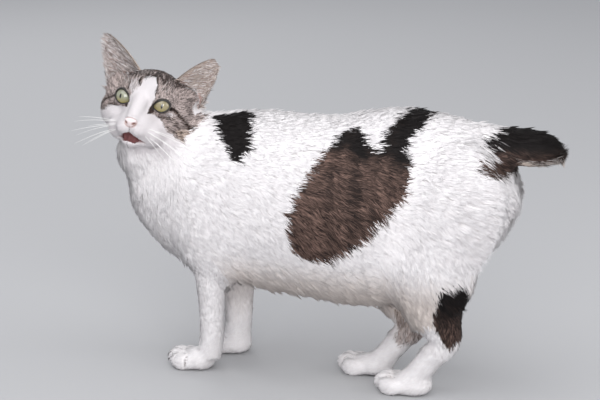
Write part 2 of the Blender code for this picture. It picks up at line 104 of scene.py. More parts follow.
def wobble(points, size, seed):
    """Smooth noise between about -1 and 1, from a few crossing waves."""
    rng = np.random.default_rng(seed)
    total = np.zeros(len(points))
    for octave in range(3):
        for _ in range(4):
            way = rng.normal(size=3)
            way *= 2 * math.pi / (size / 1.9 ** octave) / np.linalg.norm(way)
            total += np.sin(points @ way + rng.uniform(0, 6.3)) * 0.33 / 1.5 ** octave
    return total


print("middle of the head:", [round(number, 3) for number in HEAD.translation])

# %% [markdown]
# ## The skin
# On a real cat the skin runs over the whole body without a seam. The solids are parted by thin cuts, so
# they are swollen by half a millimetre, which closes the cuts, and then fused by a voxel remesh. A
# sculpted mesh would need hours, and a subdivided one would keep the cuts. The fused mesh is thinned
# with the Decimate modifier, which spends its triangles where the face and the toes need them.

# %% The flesh nodes, and helpers for meshes
FLESH = sorted(name for name in nodes if not name.startswith("eye") and name != "nose")
WELD_REACH = 0.00001


def welded(name):
    """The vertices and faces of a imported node, with its split corners joined again."""
    bm = bmesh.new()
    bm.from_mesh(nodes[name].data)
    bmesh.ops.remove_doubles(bm, verts=bm.verts, dist=WELD_REACH)
    bm.normal_update()
    return bm


def settle(obj):
    """Bakes an object's modifiers into its mesh."""
    bpy.context.view_layer.update()
    graph = bpy.context.evaluated_depsgraph_get()
    mesh = bpy.data.meshes.new_from_object(obj.evaluated_get(graph))
    obj.modifiers.clear()
    obj.data = mesh
    return obj


def mesh_object(name, mesh):
    """A new object of this mesh, in the scene."""
    made = bpy.data.objects.new(name, mesh)
    bpy.context.scene.collection.objects.link(made)
    return made


print("flesh nodes:", len(FLESH))

# %% Cast the swollen nodes as one mesh
SWELL = 0.0005

cast = bmesh.new()
solid_points, solid_faces, solid_owner = [], [], []
for number, name in enumerate(FLESH):
    part = welded(name)
    start = len(solid_points)
    solid_points += [vertex.co.copy() for vertex in part.verts]
    solid_faces += [[start + vertex.index for vertex in face.verts] for face in part.faces]
    solid_owner += [number] * len(part.faces)
    for vertex in part.verts:
        vertex.co += vertex.normal * SWELL
    copy = bpy.data.meshes.new(name)
    part.to_mesh(copy)
    part.free()
    cast.from_mesh(copy)
solids = BVHTree.FromPolygons(solid_points, solid_faces)
solid_owner = np.array(solid_owner)
print("triangles of the flesh nodes:", len(solid_owner))

# %% Fuse them with a voxel remesh
SKIN_VOXEL = 0.0011

flesh = bpy.data.meshes.new("skin")
cast.to_mesh(flesh)
cast.free()
skin = mesh_object("skin", flesh)
fuse = skin.modifiers.new("fuse", "REMESH")
fuse.mode = "VOXEL"
fuse.voxel_size = SKIN_VOXEL
settle(skin)
print("fused skin:", len(skin.data.vertices), "vertices")

# %% [markdown]
# ## Working on a whole mesh at once
# The skin has some hundred thousand vertices, and a Python loop over them is slow. Blender can hand all
# places, edges or normals over in one go with foreach_get, and numpy then works on them as arrays. The
# averaging of each vertex with its neighbours is what the Smooth modifier does, but here it also works
# on any value that the vertices carry, such as the length of the hair.

# %% Helpers that read and set arrays
def points_of(mesh):
    """The places of the vertices, one a row."""
    flat = np.zeros(len(mesh.vertices) * 3)
    mesh.vertices.foreach_get("co", flat)
    return flat.reshape(-1, 3)


def set_points(mesh, points):
    """Puts the vertices at new places."""
    mesh.vertices.foreach_set("co", np.ascontiguousarray(points, np.float32).ravel())
    mesh.update()


def edges_of(mesh):
    """The two vertex numbers of each edge."""
    flat = np.zeros(len(mesh.edges) * 2, int)
    mesh.edges.foreach_get("vertices", flat)
    return flat.reshape(-1, 2)


def normals_of(mesh):
    """The outward direction at each vertex."""
    flat = np.zeros(len(mesh.vertices) * 3, np.float32)
    mesh.vertex_normals.foreach_get("vector", flat)
    return flat.reshape(-1, 3).astype(float)


def neighbour_mean(values, edges):
    """The mean of each vertex's neighbours, for one or more columns of values."""
    count = len(values)
    ends = np.concatenate([edges[:, 0], edges[:, 1]])
    others = np.concatenate([edges[:, 1], edges[:, 0]])
    share = np.maximum(np.bincount(ends, minlength=count), 1)
    columns = values.reshape(count, -1)
    sums = [np.bincount(ends, weights=columns[others, i], minlength=count) for i in range(columns.shape[1])]
    return (np.stack(sums, axis=1) / share[:, None]).reshape(values.shape)


def spread(values, edges, rounds, hold=0.5):
    """Values blended with those of the neighbours, round after round."""
    for _ in range(rounds):
        values = hold * values + (1 - hold) * neighbour_mean(values, edges)
    return values


def owners_of(points):
    """The number of the flesh node that each point lies nearest to."""
    found = np.zeros(len(points), int)
    for i, point in enumerate(points):
        found[i] = solid_owner[solids.find_nearest(point)[2]]
    return found


print("fused skin's edges:", len(edges_of(skin.data)))

# %% [markdown]
# ## One outer surface
# Where the remesh closes a cut, it can leave small bubbles inside. Only the largest connected surface
# is the skin. Each vertex starts with its own number, and the lowest number is passed along the edges
# until nothing changes, so that all vertices of one surface share one number.

# %% Keep the outer surface and thin it
SKIN_TRIANGLES = 185000


def outer_shell(mesh):
    """Drops the small closed bubbles that the fused cuts leave inside."""
    edges = edges_of(mesh)
    group = np.arange(len(mesh.vertices))
    while True:
        low = np.minimum(group[edges[:, 0]], group[edges[:, 1]])
        joined = group.copy()
        np.minimum.at(joined, edges[:, 0], low)
        np.minimum.at(joined, edges[:, 1], low)
        joined = joined[joined]
        if (joined == group).all():
            break
        group = joined
    largest = np.bincount(group).argmax()
    bm = bmesh.new()
    bm.from_mesh(mesh)
    bm.verts.ensure_lookup_table()
    bmesh.ops.delete(bm, geom=[bm.verts[i] for i in np.flatnonzero(group != largest)], context="VERTS")
    bm.to_mesh(mesh)
    bm.free()


outer_shell(skin.data)
triangle_share = SKIN_TRIANGLES / (2 * len(skin.data.polygons))
if triangle_share < 1:
    thin = skin.modifiers.new("thin", "DECIMATE")
    thin.ratio = triangle_share
    settle(skin)
print("thinned skin:", len(skin.data.polygons), "faces")

# %% [markdown]
# ## Softening
# The solids are faceted, and a cat is not. A plain Smooth modifier would also melt the lids, the ears
# and the toes, so the smoothing has a strength of its own for each vertex: full on the trunk and the
# legs, gentle on the head and the toes. Each foot is softened again behind its toes.

# %% Soften each part by its own strength
SOFTNESS = {"head": 0.22, "jaw": 0.15, "ear": 0.12, "front_paw": 0.14, "hind_foot": 0.14}
SOFTENING_ROUNDS = 24
TOES_END, FOOT_SOFT = 0.020, 0.030


def kind_of(name):
    """A node's name without its side."""
    return name.replace("_left", "").replace("_right", "")


skin_points = points_of(skin.data)
skin_edges = edges_of(skin.data)
skin_owner = owners_of(skin_points)
softness = np.array([SOFTNESS.get(kind_of(name), 1.0) for name in FLESH])[skin_owner]
for number, name in enumerate(FLESH):
    if kind_of(name) in ("front_paw", "hind_foot"):
        of_foot = skin_owner == number
        behind_toes = skin_points[:, 0] - skin_points[of_foot, 0].min()
        softer = np.maximum(softness, step(TOES_END, FOOT_SOFT, behind_toes))
        softness = np.where(of_foot, softer, softness)
softness = spread(softness, skin_edges, 12)
for _ in range(SOFTENING_ROUNDS):
    pull = neighbour_mean(skin_points, skin_edges) - skin_points
    skin_points += pull * (0.6 * softness)[:, None]
print("mean softness:", round(float(softness.mean()), 2))

# %% [markdown]
# ## The near wrist
# The left foreleg of the photograph is slim above its paw. Its back edge is drawn forward by a few
# millimetres, most at the back of the leg and nothing at its front, at the elbow and on the floor.

# %% Draw the back of the near leg forward
WRIST_FORWARD = 0.0050
LEG_MIDDLE, LEG_BACK = -0.120, -0.096
near_leg = np.isin(np.array(FLESH)[skin_owner], ("foreleg_left", "front_paw_left"))
x, y, z = skin_points.T
back_share = step(LEG_MIDDLE, LEG_BACK, x) * step(0.125, 0.095, z) * step(0.004, 0.016, z)
skin_points[:, 0] -= WRIST_FORWARD * back_share * near_leg
set_points(skin.data, skin_points)
print("vertices drawn forward:", int((back_share * near_leg > 0.1).sum()))

# %% [markdown]
# ## How the coat differs over the body
# A cat's coat is long on the belly and the breeches, short on the legs and almost nothing on the
# muzzle. One row of numbers for each part of the body says how deep the coat is, how long and wide its
# tufts are, how many stand on a square millimetre and how far they lift. The rows are set at the
# vertices and then spread over the mesh, so that the coat changes without a border. Painting such
# lengths by hand with a weight brush would do the same, but could not be repeated by a script.

# %% Depth, length, width, number and lift of the tufts
MM = 0.001
DEPTH, LENGTH, WIDTH, NUMBER, LIFT = range(5)
COAT = {
    # depth, length and width in mm, tufts for each square mm, lift in degrees
    "torso": (2.2, 13.0, 0.85, 1.02, 10),
    "neck": (2.6, 13.5, 0.85, 1.05, 13),
    "thigh": (2.0, 12.5, 0.85, 1.05, 11),
    "tail": (3.2, 17.0, 0.80, 2.00, 15),
    "head": (1.2, 4.8, 0.52, 3.0, 15),
    "jaw": (0.7, 3.2, 0.45, 3.6, 14),
    "ear": (0.2, 3.2, 0.45, 3.4, 11),
    "foreleg": (1.4, 7.5, 0.72, 1.4, 14),
    "shank": (1.5, 8.0, 0.72, 1.4, 16),
    "front_paw": (0.6, 3.8, 0.60, 1.4, 12),
    "hind_foot": (0.6, 4.2, 0.60, 1.4, 12),
}
skin_names = np.array(FLESH)[skin_owner]
on_head = np.isin(skin_names, ("head", "jaw"))
on_ear = np.isin(skin_names, ("ear_left", "ear_right"))
coat = np.array([COAT[kind_of(name)] for name in FLESH], float)[skin_owner]
print("coats:", len(COAT), "vertices on the head:", int(on_head.sum()))

# %% Longer hair away from the nose
NOSE_TIP = np.array((-0.052, 0, -0.020))
own = in_head(skin_points)
from_nose = np.linalg.norm(own - NOSE_TIP, axis=1)
grow = np.where(on_head, step(0.012, 0.075, from_nose), 1.0)
coat[:, DEPTH] *= np.where(on_head, 0.35 + 0.95 * grow, 1.0)
coat[:, LENGTH] *= np.where(on_head, 0.45 + 1.20 * grow, 1.0)
coat[:, WIDTH] *= np.where(on_head, 0.75 + 0.40 * grow, 1.0)
coat[:, NUMBER] *= np.where(on_head, 1.35 - 0.70 * grow, 1.0)
head_hair = coat[on_head, LENGTH]
print("hair on the head, mm:", head_hair.min().round(1), "to", head_hair.max().round(1))

# %% Fluffy belly and breeches, raised hair on the ridge of the back
skin_normals = normals_of(skin.data)
x, y, z = (skin_points - MOVED).T
belly = step(-0.30, -0.75, skin_normals[:, 2]) * step(0.150, 0.120, z) * step(0.060, 0.080, z)
breeches = step(0.150, 0.180, x) * step(0.245, 0.215, z) * step(0.130, 0.155, z)
ruff = step(-0.125, -0.150, x) * step(0.255, 0.235, z) * (~on_head)
ridge = step(0.80, 0.96, skin_normals[:, 2]) * (z > 0.20) * (~on_head)
fluffy = np.clip(belly + breeches + 0.35 * ruff, 0, 1)
coat[:, LENGTH] *= 1 + 0.35 * fluffy
coat[:, LIFT] += 8 * fluffy + 18 * belly + 9 * ridge
coat = spread(coat, skin_edges, 14)
print("coat depth from", coat[:, DEPTH].min().round(2), "to", coat[:, DEPTH].max().round(2), "mm")

# %% [markdown]
# ## Openings between the lids
# An eye shows through an almond that is pointed towards the nose. The remesh rounds the lids of the
# solids off, so the almond is worked out again in the frame of the gaze, and the skin that lies in
# front of the ball inside it is pushed out to its edge. A Boolean cut would leave a rough edge there.

# %% The almond of the lids
EYE_RADIUS = 0.0115
EYE_TURN = math.radians(13)
EYE_CENTRES = {-1: np.array((-0.0215, -0.0220, 0.0040)), 1: np.array((-0.0215, 0.0220, 0.0040))}
OPENINGS = {-1: (0.0172, 0.0140), 1: (0.0190, 0.0162)}
NOSE_CENTRE = np.array((-0.0545, 0.0, -0.0192))


def gaze(side):
    """The frame of one eye: X looks out of it and Z is up."""
    turn = Matrix.Rotation(math.pi - side * EYE_TURN, 4, "Z")
    return HEAD @ Matrix.Translation(Vector(EYE_CENTRES[side])) @ turn


def lid_outline(count, side):
    """The opening between the lids, as steps towards the nose and up."""
    wide, high = OPENINGS[side]
    points = []
    for i in range(count):
        angle = 2 * math.pi * i / count
        inward = math.cos(angle)
        corner = max(inward, 0.0) ** 5
        rise = math.sin(angle) * (1 - 0.18 * inward * inward)
        points.append((0.5 * wide * inward + 0.0014 * corner,
                       0.5 * high * rise - 0.0013 * inward - 0.0012 * corner))
    return np.array(points)


def round_eye(points, side):
    """Points in the frame of the gaze, and how far each lies outside the lids' outline."""
    place = carried(gaze(side).inverted(), points)
    outline = lid_outline(96, side)
    angles = np.arctan2(outline[:, 1], outline[:, 0])
    order = np.argsort(angles)
    reach = np.hypot(outline[:, 0], outline[:, 1])
    own_angle = np.arctan2(place[:, 2], side * place[:, 1])
    edge = np.interp(own_angle, angles[order], reach[order], period=2 * math.pi)
    return place, np.hypot(place[:, 1], place[:, 2]) - edge, edge


def opened(points, side):
    """Pushes the skin in front of the eyeball out to the edge of the lids."""
    place, gap, edge = round_eye(points, side)
    inside = (place[:, 0] > 0.002) & (gap < 0)
    place[inside, 1:] *= (edge / np.maximum(edge + gap, 1e-5))[inside, None]
    return carried(gaze(side), place)


print("frames of the gaze:", len(EYE_CENTRES))

# %% [markdown]
# ## Bare places
# The lids, the seat of the nose and the inside of the mouth carry no fur. They are found by how near
# they are to the eyeballs, the nose and the line of the mouth. Then the skin is set in from the solids
# by the swelling and the depth of the coat, so that the tufts end at the true outline.

# %% How near the eyes, the nose and the mouth are
def nearness(points, centre, radius, fade):
    """1 within a radius of a centre in the head's frame, falling to 0 over the fade."""
    gap = np.linalg.norm((points - np.array(centre)), axis=1)
    return 1 - step(radius, radius + fade, gap)


def mouth_gap(points):
    """1 between the parted lips, where the mouth shows its flesh."""
    across = np.abs(points[:, 1])
    upper = -0.0320 - 0.54 * across
    inside = step(-0.0003, 0.0003, upper - points[:, 2]) * step(-0.0003, 0.0003, points[:, 2] + 0.0420)
    return inside * (points[:, 0] < -0.034)


near_eye = np.maximum(nearness(own, EYE_CENTRES[-1], 0.0135, 0.0080),
                      nearness(own, EYE_CENTRES[1], 0.0135, 0.0080)) * on_head
coat[:, DEPTH] *= 1 - 0.5 * near_eye
coat[:, LENGTH] *= 1 - 0.45 * near_eye
coat[:, NUMBER] *= 1 + 0.35 * near_eye
nose_seat = nearness(own * (1, 0.9, 1), NOSE_CENTRE, 0.0060, 0.0010)
mouth = mouth_gap(own) * on_head
lips = np.clip(3 * spread(mouth, skin_edges, 16), 0, 1)
coat[:, LENGTH] *= 1 - 0.60 * lips
coat[:, LIFT] *= 1 - 0.40 * lips
print("vertices in the mouth:", int((mouth > 0.5).sum()))

# %% Set the skin in by the depth of the coat
MOUTH_DEPTH = 0.0028
inset = SWELL + coat[:, DEPTH] * MM * (1 - nose_seat) + MOUTH_DEPTH * mouth
skin_points = skin_points - skin_normals * inset[:, None]
skin_points = skin_points + (spread(skin_points, skin_edges, 4) - skin_points) * softness[:, None]
for side in (-1, 1):
    skin_points = opened(skin_points, side)
set_points(skin.data, skin_points)
skin_normals = normals_of(skin.data)
own = in_head(skin_points)
print("skin set in by up to", round(float(inset.max()) * 1000, 1), "mm")

# %% [markdown]
# ## Edges of the lids, gaps between the toes and the torn ear
# These small forms make the cat this very one. The edge of each lid is a bare rim, wider above than
# below. Lines between the toes are pressed into the skin, kept free of hair and later darkened as painted
# shade. The tip of the left ear is torn: the points inside a small circle are brought down to its lower
# half, as a Boolean would do.

# %% Edges of the lids
lid_edge = np.zeros(len(skin_points))
for side in (-1, 1):
    place, gap, edge = round_eye(skin_points, side)
    thick = 0.0008 + 0.0011 * step(-0.002, 0.005, place[:, 2])
    lid_edge = np.maximum(lid_edge, (1 - step(thick - 0.0003, thick + 0.0003, gap)) * (place[:, 0] > -0.002))
lid_edge *= on_head
print("vertices on the lids' edges:", int((lid_edge > 0.5).sum()))

# %% Gaps between the toes
TOE_FAN_BACK = 0.030
CREASE_DEPTH = 0.0012
on_feet = np.isin([kind_of(name) for name in skin_names], ("front_paw", "hind_foot"))
sunk = ((spread(skin_points, skin_edges, 30) - skin_points) * skin_normals).sum(axis=1)
crease = 0.5 * step(0.00020, 0.0008, sunk) * on_feet * (skin_points[:, 2] < 0.024)
TOE_GAPS = {
    # the directions of the gaps between the toes, in degrees out from straight ahead
    "front_paw_left": (-78, -47, -14), "front_paw_right": (-22, 0, 22),
    "hind_foot_left": (-30, -8, 16), "hind_foot_right": (-24, 0, 22),
}
for name, gap_angles in TOE_GAPS.items():
    of_foot = skin_names == name
    low, high = skin_points[of_foot].min(axis=0), skin_points[of_foot].max(axis=0)
    ahead = low[0] + TOE_FAN_BACK - skin_points[:, 0]
    aside = skin_points[:, 1] - 0.5 * (low[1] + high[1])
    for angle in np.radians(gap_angles):
        along = ahead * math.cos(angle) + aside * math.sin(angle)
        away = np.abs(aside * math.cos(angle) - ahead * math.sin(angle))
        line = (1 - step(0.0007, 0.0019, away)) * step(0.011, 0.015, along)
        line *= of_foot * step(0.002, 0.005, skin_points[:, 2]) * step(0.0205, 0.0175, skin_points[:, 2])
        crease = np.maximum(crease, line)
skin_points = skin_points - skin_normals * (CREASE_DEPTH * crease)[:, None]
print("vertices in creases:", int((crease > 0.5).sum()))

# %% The torn tip of the left ear
EAR_TIP = np.array((0.014, -0.0610, 0.0670))
EAR_FOOT = np.array((0.013, -0.0400, 0.0200))
EAR_WAY = unit(EAR_TIP - EAR_FOOT)
EAR_ACROSS = np.array((0.0, -EAR_WAY[2], EAR_WAY[1]))
NOTCH_RADIUS, NOTCH_ASIDE, NOTCH_DEEPEST = 0.0036, 0.0024, 0.008
of_left_ear = skin_names == "ear_left"
from_notch = in_head(skin_points) - (EAR_TIP + NOTCH_ASIDE * EAR_ACROSS)
notch_side = from_notch @ EAR_ACROSS
notch_floor = -np.sqrt(np.maximum(NOTCH_RADIUS ** 2 - notch_side ** 2, 0))
torn = (from_notch @ EAR_WAY - notch_floor) * (np.abs(notch_side) < NOTCH_RADIUS) * of_left_ear
torn = np.clip(torn, 0, NOTCH_DEEPEST)
skin_points = skin_points - turned(HEAD, EAR_WAY)[None] * torn[:, None]
near_notch = nearness(from_notch, (0, 0, 0), 0.0050, 0.0050) * of_left_ear
coat[:, LENGTH] *= 1 - 0.80 * near_notch
set_points(skin.data, skin_points)
bare = np.clip(lid_edge + nose_seat + mouth + (torn > 0), 0, 1)
print("bare vertices:", int((bare > 0.5).sum()))

# %% [markdown]
# ## Markings
# The cat is white, with a dark brown patch on its flank, a black one on its shoulder, a dark tail, a
# patch on the hock and a tabby cap with a white blaze. The patches could be painted on a texture, but
# here the same function marks the skin and each tuft, with no picture. The trunk is measured by the
# distance along it in millimetres and the angle down from the spine, as if the coat were unrolled, so
# that one outline runs from the back down the flank. Noise moves the outlines a little, because fur of
# two colours mingles where they meet.

# %% Outlines of the patches
FLANK_PATCH = ((62, 17), (48, 22), (34, 37), (21, 53), (10, 77), (1, 106), (7, 126), (20, 132), (48, 129),
               (70, 122), (90, 106), (111, 85), (132, 66), (134, 49), (128, 34), (108, 28), (91, 36),
               (79, 25), (66, 17))
RUMP_STREAK = ((94, 36), (97, 22), (108, 8), (115, -14), (136, -16), (137, 12), (128, 24), (121, 36))
SHOULDER_PATCH = ((-105, 6), (-80, 4), (-60, 5), (-49, 22), (-47, 36), (-54, 49), (-60, 52), (-71, 41),
                  (-86, 28), (-100, 10))
REAR_SPOT = ((143, -18), (159, -16), (157, -8), (144, -9))
FAR_FLANK_PATCH = ((22, -20), (58, -18), (86, -34), (95, -62), (84, -96), (62, -118), (34, -112), (12, -84),
                   (8, -48))
FAR_SHOULDER_PATCH = ((-92, -52), (-66, -46), (-52, -66), (-58, -92), (-78, -98), (-94, -78))
PATCHES = (FLANK_PATCH, RUMP_STREAK, SHOULDER_PATCH, REAR_SPOT, FAR_FLANK_PATCH, FAR_SHOULDER_PATCH)
STRIPES = (
    # place along the trunk and half width in mm, strength
    (47, 6, 0.35), (74, 7, 0.60), (94, 5, 0.45), (121, 9, 0.35),
)
print("patches:", len(PATCHES), "stripes:", len(STRIPES))

# %% Distances to outlines and lines
FAR_AWAY = 1e9


def segment_gap(across, along, start, end):
    """Distance to one straight piece of an outline or a line."""
    (ax, ay), (bx, by) = start, end
    wide, high = bx - ax, by - ay
    t = np.clip(((across - ax) * wide + (along - ay) * high) / (wide * wide + high * high), 0, 1)
    return np.hypot(across - ax - t * wide, along - ay - t * high)


def outline_gap(across, along, outline):
    """Distance to a closed outline, positive inside it."""
    corners = np.array(outline, float)
    gap = np.full(len(across), FAR_AWAY)
    inside = np.zeros(len(across), bool)
    for start, end in zip(corners, np.roll(corners, -1, axis=0)):
        gap = np.minimum(gap, segment_gap(across, along, start, end))
        (ax, ay), (bx, by) = start, end
        crosses = (ay > along) != (by > along)
        rise = by - ay
        meets = ax + (along - ay) * (bx - ax) / (rise if rise else 1e-9)
        inside ^= crosses & (across < meets)
    return np.where(inside, gap, -gap)


def line_gap(across, along, line):
    """Distance to an open line."""
    gap = np.full(len(across), FAR_AWAY)
    for start, end in zip(line, line[1:]):
        gap = np.minimum(gap, segment_gap(across, along, start, end))
    return gap


middle_of_flank = np.mean(FLANK_PATCH, axis=0)
print("middle of the flank's patch:", middle_of_flank.round(),
      "inside by", outline_gap(middle_of_flank[:1], middle_of_flank[1:], FLANK_PATCH).round())

# %% Patches of the trunk
ROUND_THE_TRUNK = 1.4
TRUNK_MIDDLE = 0.185


def on_trunk(points):
    """Place along the trunk in mm and degrees down from the spine, positive on the left side."""
    x, y, z = (points - MOVED).T
    return x * 1000, np.degrees(np.arctan2(-y, z - TRUNK_MIDDLE))


def patch_share(points):
    """Dark share of the patches."""
    across, angle = on_trunk(points)
    edge = 2.2 * wobble(points, 0.014, 3)
    dark = np.zeros(len(points))
    for outline in PATCHES:
        rolled = [(place, ROUND_THE_TRUNK * turn) for place, turn in outline]
        inside = outline_gap(across, ROUND_THE_TRUNK * angle, rolled) + edge
        dark = np.maximum(dark, step(-1.6, 1.6, inside))
    return dark


def flank_warmth(points):
    """How brown the flank's dark hair is: brown with dark stripes, and black along the upper edge."""
    across, angle = on_trunk(points)
    stripe = np.zeros(len(points))
    for place, half, strength in STRIPES:
        away = np.abs(across - place + 3 * wobble(points, 0.030, 13)) / half
        stripe = np.maximum(stripe, strength * (1 - step(0.4, 1.5, away)))
    high = step(43, 27, np.abs(angle) - 0.10 * (across - 60))
    flank = (across > -15) & (across < 150)
    return np.where(flank, np.clip(1.05 - stripe - high, 0, 1), 0.0)


print("skin in the patches:", round(float((patch_share(skin_points) > 0.5).mean()), 3))

# %% The tail, and the trunk's marks together
TAIL_REGION = 0.19


def tail_share(points):
    """Dark share of the tail, whose black sets in at its root in long strands."""
    x, y, z = (points - MOVED).T
    strands = wobble(points * (0.25, 1.0, 1.0), 0.007, 4)
    tail = step(0.198, 0.210, x + 0.009 * strands + 0.45 * np.minimum(z - 0.250, 0))
    return tail * step(0.226, 0.236, z)


def trunk_marks(points):
    """Dark share of the coat on the trunk and the tail, and how brown it is."""
    x, y, z = (points - MOVED).T
    warm = np.where(x > TAIL_REGION, 0.60 * step(0.264, 0.250, z), flank_warmth(points))
    return np.maximum(patch_share(points), tail_share(points)), warm


print("skin in the dark of the tail:", round(float((tail_share(skin_points) > 0.5).mean()), 3))

# %% [markdown]
# ## Markings of the head
# The head's markings are drawn as on a globe, in degrees round the head and up from its middle. A tabby
# cap covers the crown, the brows, the cheeks behind the eyes and the ears. The white blaze is what is
# left: it runs from between the ears, between the eyes, and widens over the muzzle and the lower
# cheeks. Dark streaks on the crown and one from the corner of each eye make the cap a tabby's.

# %% Outlines on the head
TABBY_CAP = ((-3, 63), (-13, 58), (-22, 50), (-24, 33), (-25, 20), (-21, 8), (-19, -2), (-18, -10),
             (-30, -13), (-42, -16), (-48, -22), (-58, -30), (-68, -30), (-77, -25), (-87, -18), (-94, -10),
             (-98, -3), (-103, 6), (-107, 14), (-114, 24), (-122, 44), (-140, 56), (-185, 58), (0, 95),
             (185, 58), (140, 56), (122, 44), (118, 20), (116, 6), (105, -12), (90, -20), (75, -20),
             (66, -17), (60, -13), (54, -12), (44, -12), (26, -10), (23, -4), (23, 8), (16, 16),
             (11, 25), (7, 33), (9, 47), (9, 61))
PALE_BROW = ((9, 25), (16, 14), (30, 22), (33, 34), (20, 44), (10, 40))
CREAM_CHEEK = ((-50, -1), (-58, -1), (-62, -5), (-58, -9), (-50, -9), (-46, -6))
INNER_CORNERS = (((-27, 5), (-22, 8), (-19, -2), (-17, -11), (-22, -11), (-28, -8)),
                 ((27, 2), (24, 0), (23, -8), (26, -11), (30, -7)))
STREAKS = (
    # line, half width in degrees, strength
    (((17, 51), (14, 40), (11, 32)), 1.5, 0.95),
    (((8, 62), (6, 50), (3, 45)), 1.6, 0.95),
    (((-14, 64), (-20, 56), (-25, 43)), 1.7, 0.95),
    (((2, 68), (-4, 57)), 1.2, 0.90),
    (((-8, 68), (-10, 56)), 1.2, 0.80),
    (((-24, 33), (-24, 21)), 1.2, 0.80),
    (((32, 31), (29, 21)), 1.2, 0.80),
    (((34, 62), (26, 48)), 1.6, 0.70),
    (((-66, 61), (-42, 58)), 2.4, 0.60),
    (((-48, 60), (-40, 44)), 1.6, 0.50),
    (((-90, 6), (-84, 0)), 3.0, 0.40),
)
CHEEK_STREAKS = (
    (((52, 4), (59, 4), (65, 0), (68, -4), (72, -9), (76, -13), (84, -14)), 2.4, 0.97),
    (((40, -15), (47, -13), (54, -10), (60, -11), (66, -17), (70, -21)), 2.2, 0.62),
    (((50, -23), (58, -25), (66, -26), (70, -24)), 1.7, 0.50),
)
TAN_SPOT = ((-70, -24), (-78, -21), (-86, -16))
print("streaks on the head:", len(STREAKS) + 2 * len(CHEEK_STREAKS))

# %% Marks of the head
HEAD_REACH = 0.068


def rolled_out(line):
    """Degrees round the head, drawn closer where a circle of latitude is shorter."""
    return [(around * math.cos(math.radians(up)), up) for around, up in line]


def head_marks(points):
    """Dark, tabby and tan shares on the head."""
    place = in_head(points)
    around = np.degrees(np.arctan2(place[:, 1], -place[:, 0]))
    up = np.degrees(np.arctan2(place[:, 2], np.hypot(place[:, 0], place[:, 1])))
    across = around * np.cos(np.radians(up))
    edge = 1.3 * wobble(points, 0.009, 5)

    def inside(outline):
        """Degrees inside an outline on the head."""
        return outline_gap(across, up, rolled_out(outline))

    tabby = step(-1.5, 1.5, inside(TABBY_CAP) + edge)
    tabby *= 1 - 0.50 * step(-2.0, 2.0, inside(PALE_BROW) + edge)
    tabby *= 1 - 0.45 * step(-1.5, 1.5, inside(CREAM_CHEEK))
    dark = np.zeros(len(points))
    for line, half, strength in STREAKS:
        away = line_gap(across, up, rolled_out(line)) + 0.5 * edge
        dark = np.maximum(dark, strength * (1 - step(half - 0.6, half + 1.0, away)))
    crown = step(-0.027, -0.016, place[:, 0]) * step(0.022, 0.028, place[:, 2])
    dark = np.maximum(dark, crown * np.clip(0.84 + 0.7 * wobble(points, 0.006, 7), 0, 0.97))
    for side in (-1, 1):
        allowed = (tabby > 0.1) | (side < 0)
        for line, half, strength in CHEEK_STREAKS:
            mirrored = rolled_out([(side * a, b) for a, b in line])
            away = line_gap(across, up, mirrored) + 0.3 * edge
            dark = np.maximum(dark, strength * (1 - step(half - 0.6, half + 0.9, away)) * allowed)
    for outline in INNER_CORNERS:
        dark = np.maximum(dark, 0.97 * step(-1.0, 0.6, inside(outline)))
    # A line down the groove under the nose is darkened: painted shade in the groove.
    groove = (np.abs(place[:, 1]) < 0.0007) & (place[:, 2] < -0.0245) & (place[:, 0] < -0.040)
    dark = np.maximum(dark, 0.45 * groove)
    tan = 0.55 * (1 - step(2.0, 5.0, line_gap(across, up, rolled_out(TAN_SPOT))))
    near = np.linalg.norm(place, axis=1) < HEAD_REACH
    return dark * near, tabby * near, tan * near


# %% [markdown]
# ## Markings of the legs, and all marks together
# The left hock has a patch that is black above and brown below. The right shank is brown inside. Four
# numbers for each point say how dark, how tabby, how brown and how tan the hair is there. Each node
# takes its share from the function of its own region.

# %% Marks of the legs
def leg_marks(points):
    """The dark patch on the left hock and the brown inside of the right one."""
    x, y, z = (points - MOVED).T
    edge = 0.0014 * wobble(points, 0.010, 8)
    front = 0.1555 + 0.30 * np.maximum(0.080 - z, 0) + 0.28 * np.maximum(z - 0.082, 0)
    left = step(-0.0015, 0.0015, x - front + edge)
    left *= step(0.121, 0.115, z + 1.5 * edge - 0.35 * (x - 0.168)) * step(0.193, 0.188, x)
    left *= step(0.047, 0.053, z + 2 * edge - 0.45 * (x - 0.165)) * (y < 0.0)
    right = step(0.092, 0.100, x + edge) * step(0.104, 0.088, z + edge) * step(0.026, 0.040, z + edge)
    right *= (y > 0.0) * (x < 0.135)
    return left, right


def hock_warmth(points, height):
    """How brown the hock's patch is: black above and brown below, in streaks."""
    streaks = wobble(points * (1, 1, 0.4), 0.008, 9)
    return 0.60 * step(0.106, 0.060, height + 0.008 * streaks)


# %% Pale hair of the tail, and cream below as painted shade
def tail_pales(x, z):
    """Shares of the buff under the tail and of its pale end."""
    buff = step(0.2535, 0.2475, z) * step(0.206, 0.214, x) * step(0.256, 0.246, x)
    pale_end = step(0.252, 0.258, x + 0.3 * (0.250 - z)) * step(0.256, 0.248, z)
    return buff, pale_end


def cream_shade_share(names, x, z):
    """A cream tint under the belly and on the far legs, as painted shade."""
    trunk = np.isin(names, ("torso", "thigh_left", "thigh_right", "neck"))
    right_leg = np.isin(names, ("foreleg_right", "shank_right"))
    cream = np.where(trunk, 0.52 * step(0.140, 0.095, z) * step(-0.100, -0.060, x), 0.0)
    return cream + 0.31 * right_leg * step(0.020, 0.080, z)


# %% All marks together
DARK, TABBY, WARM, TAN = range(4)


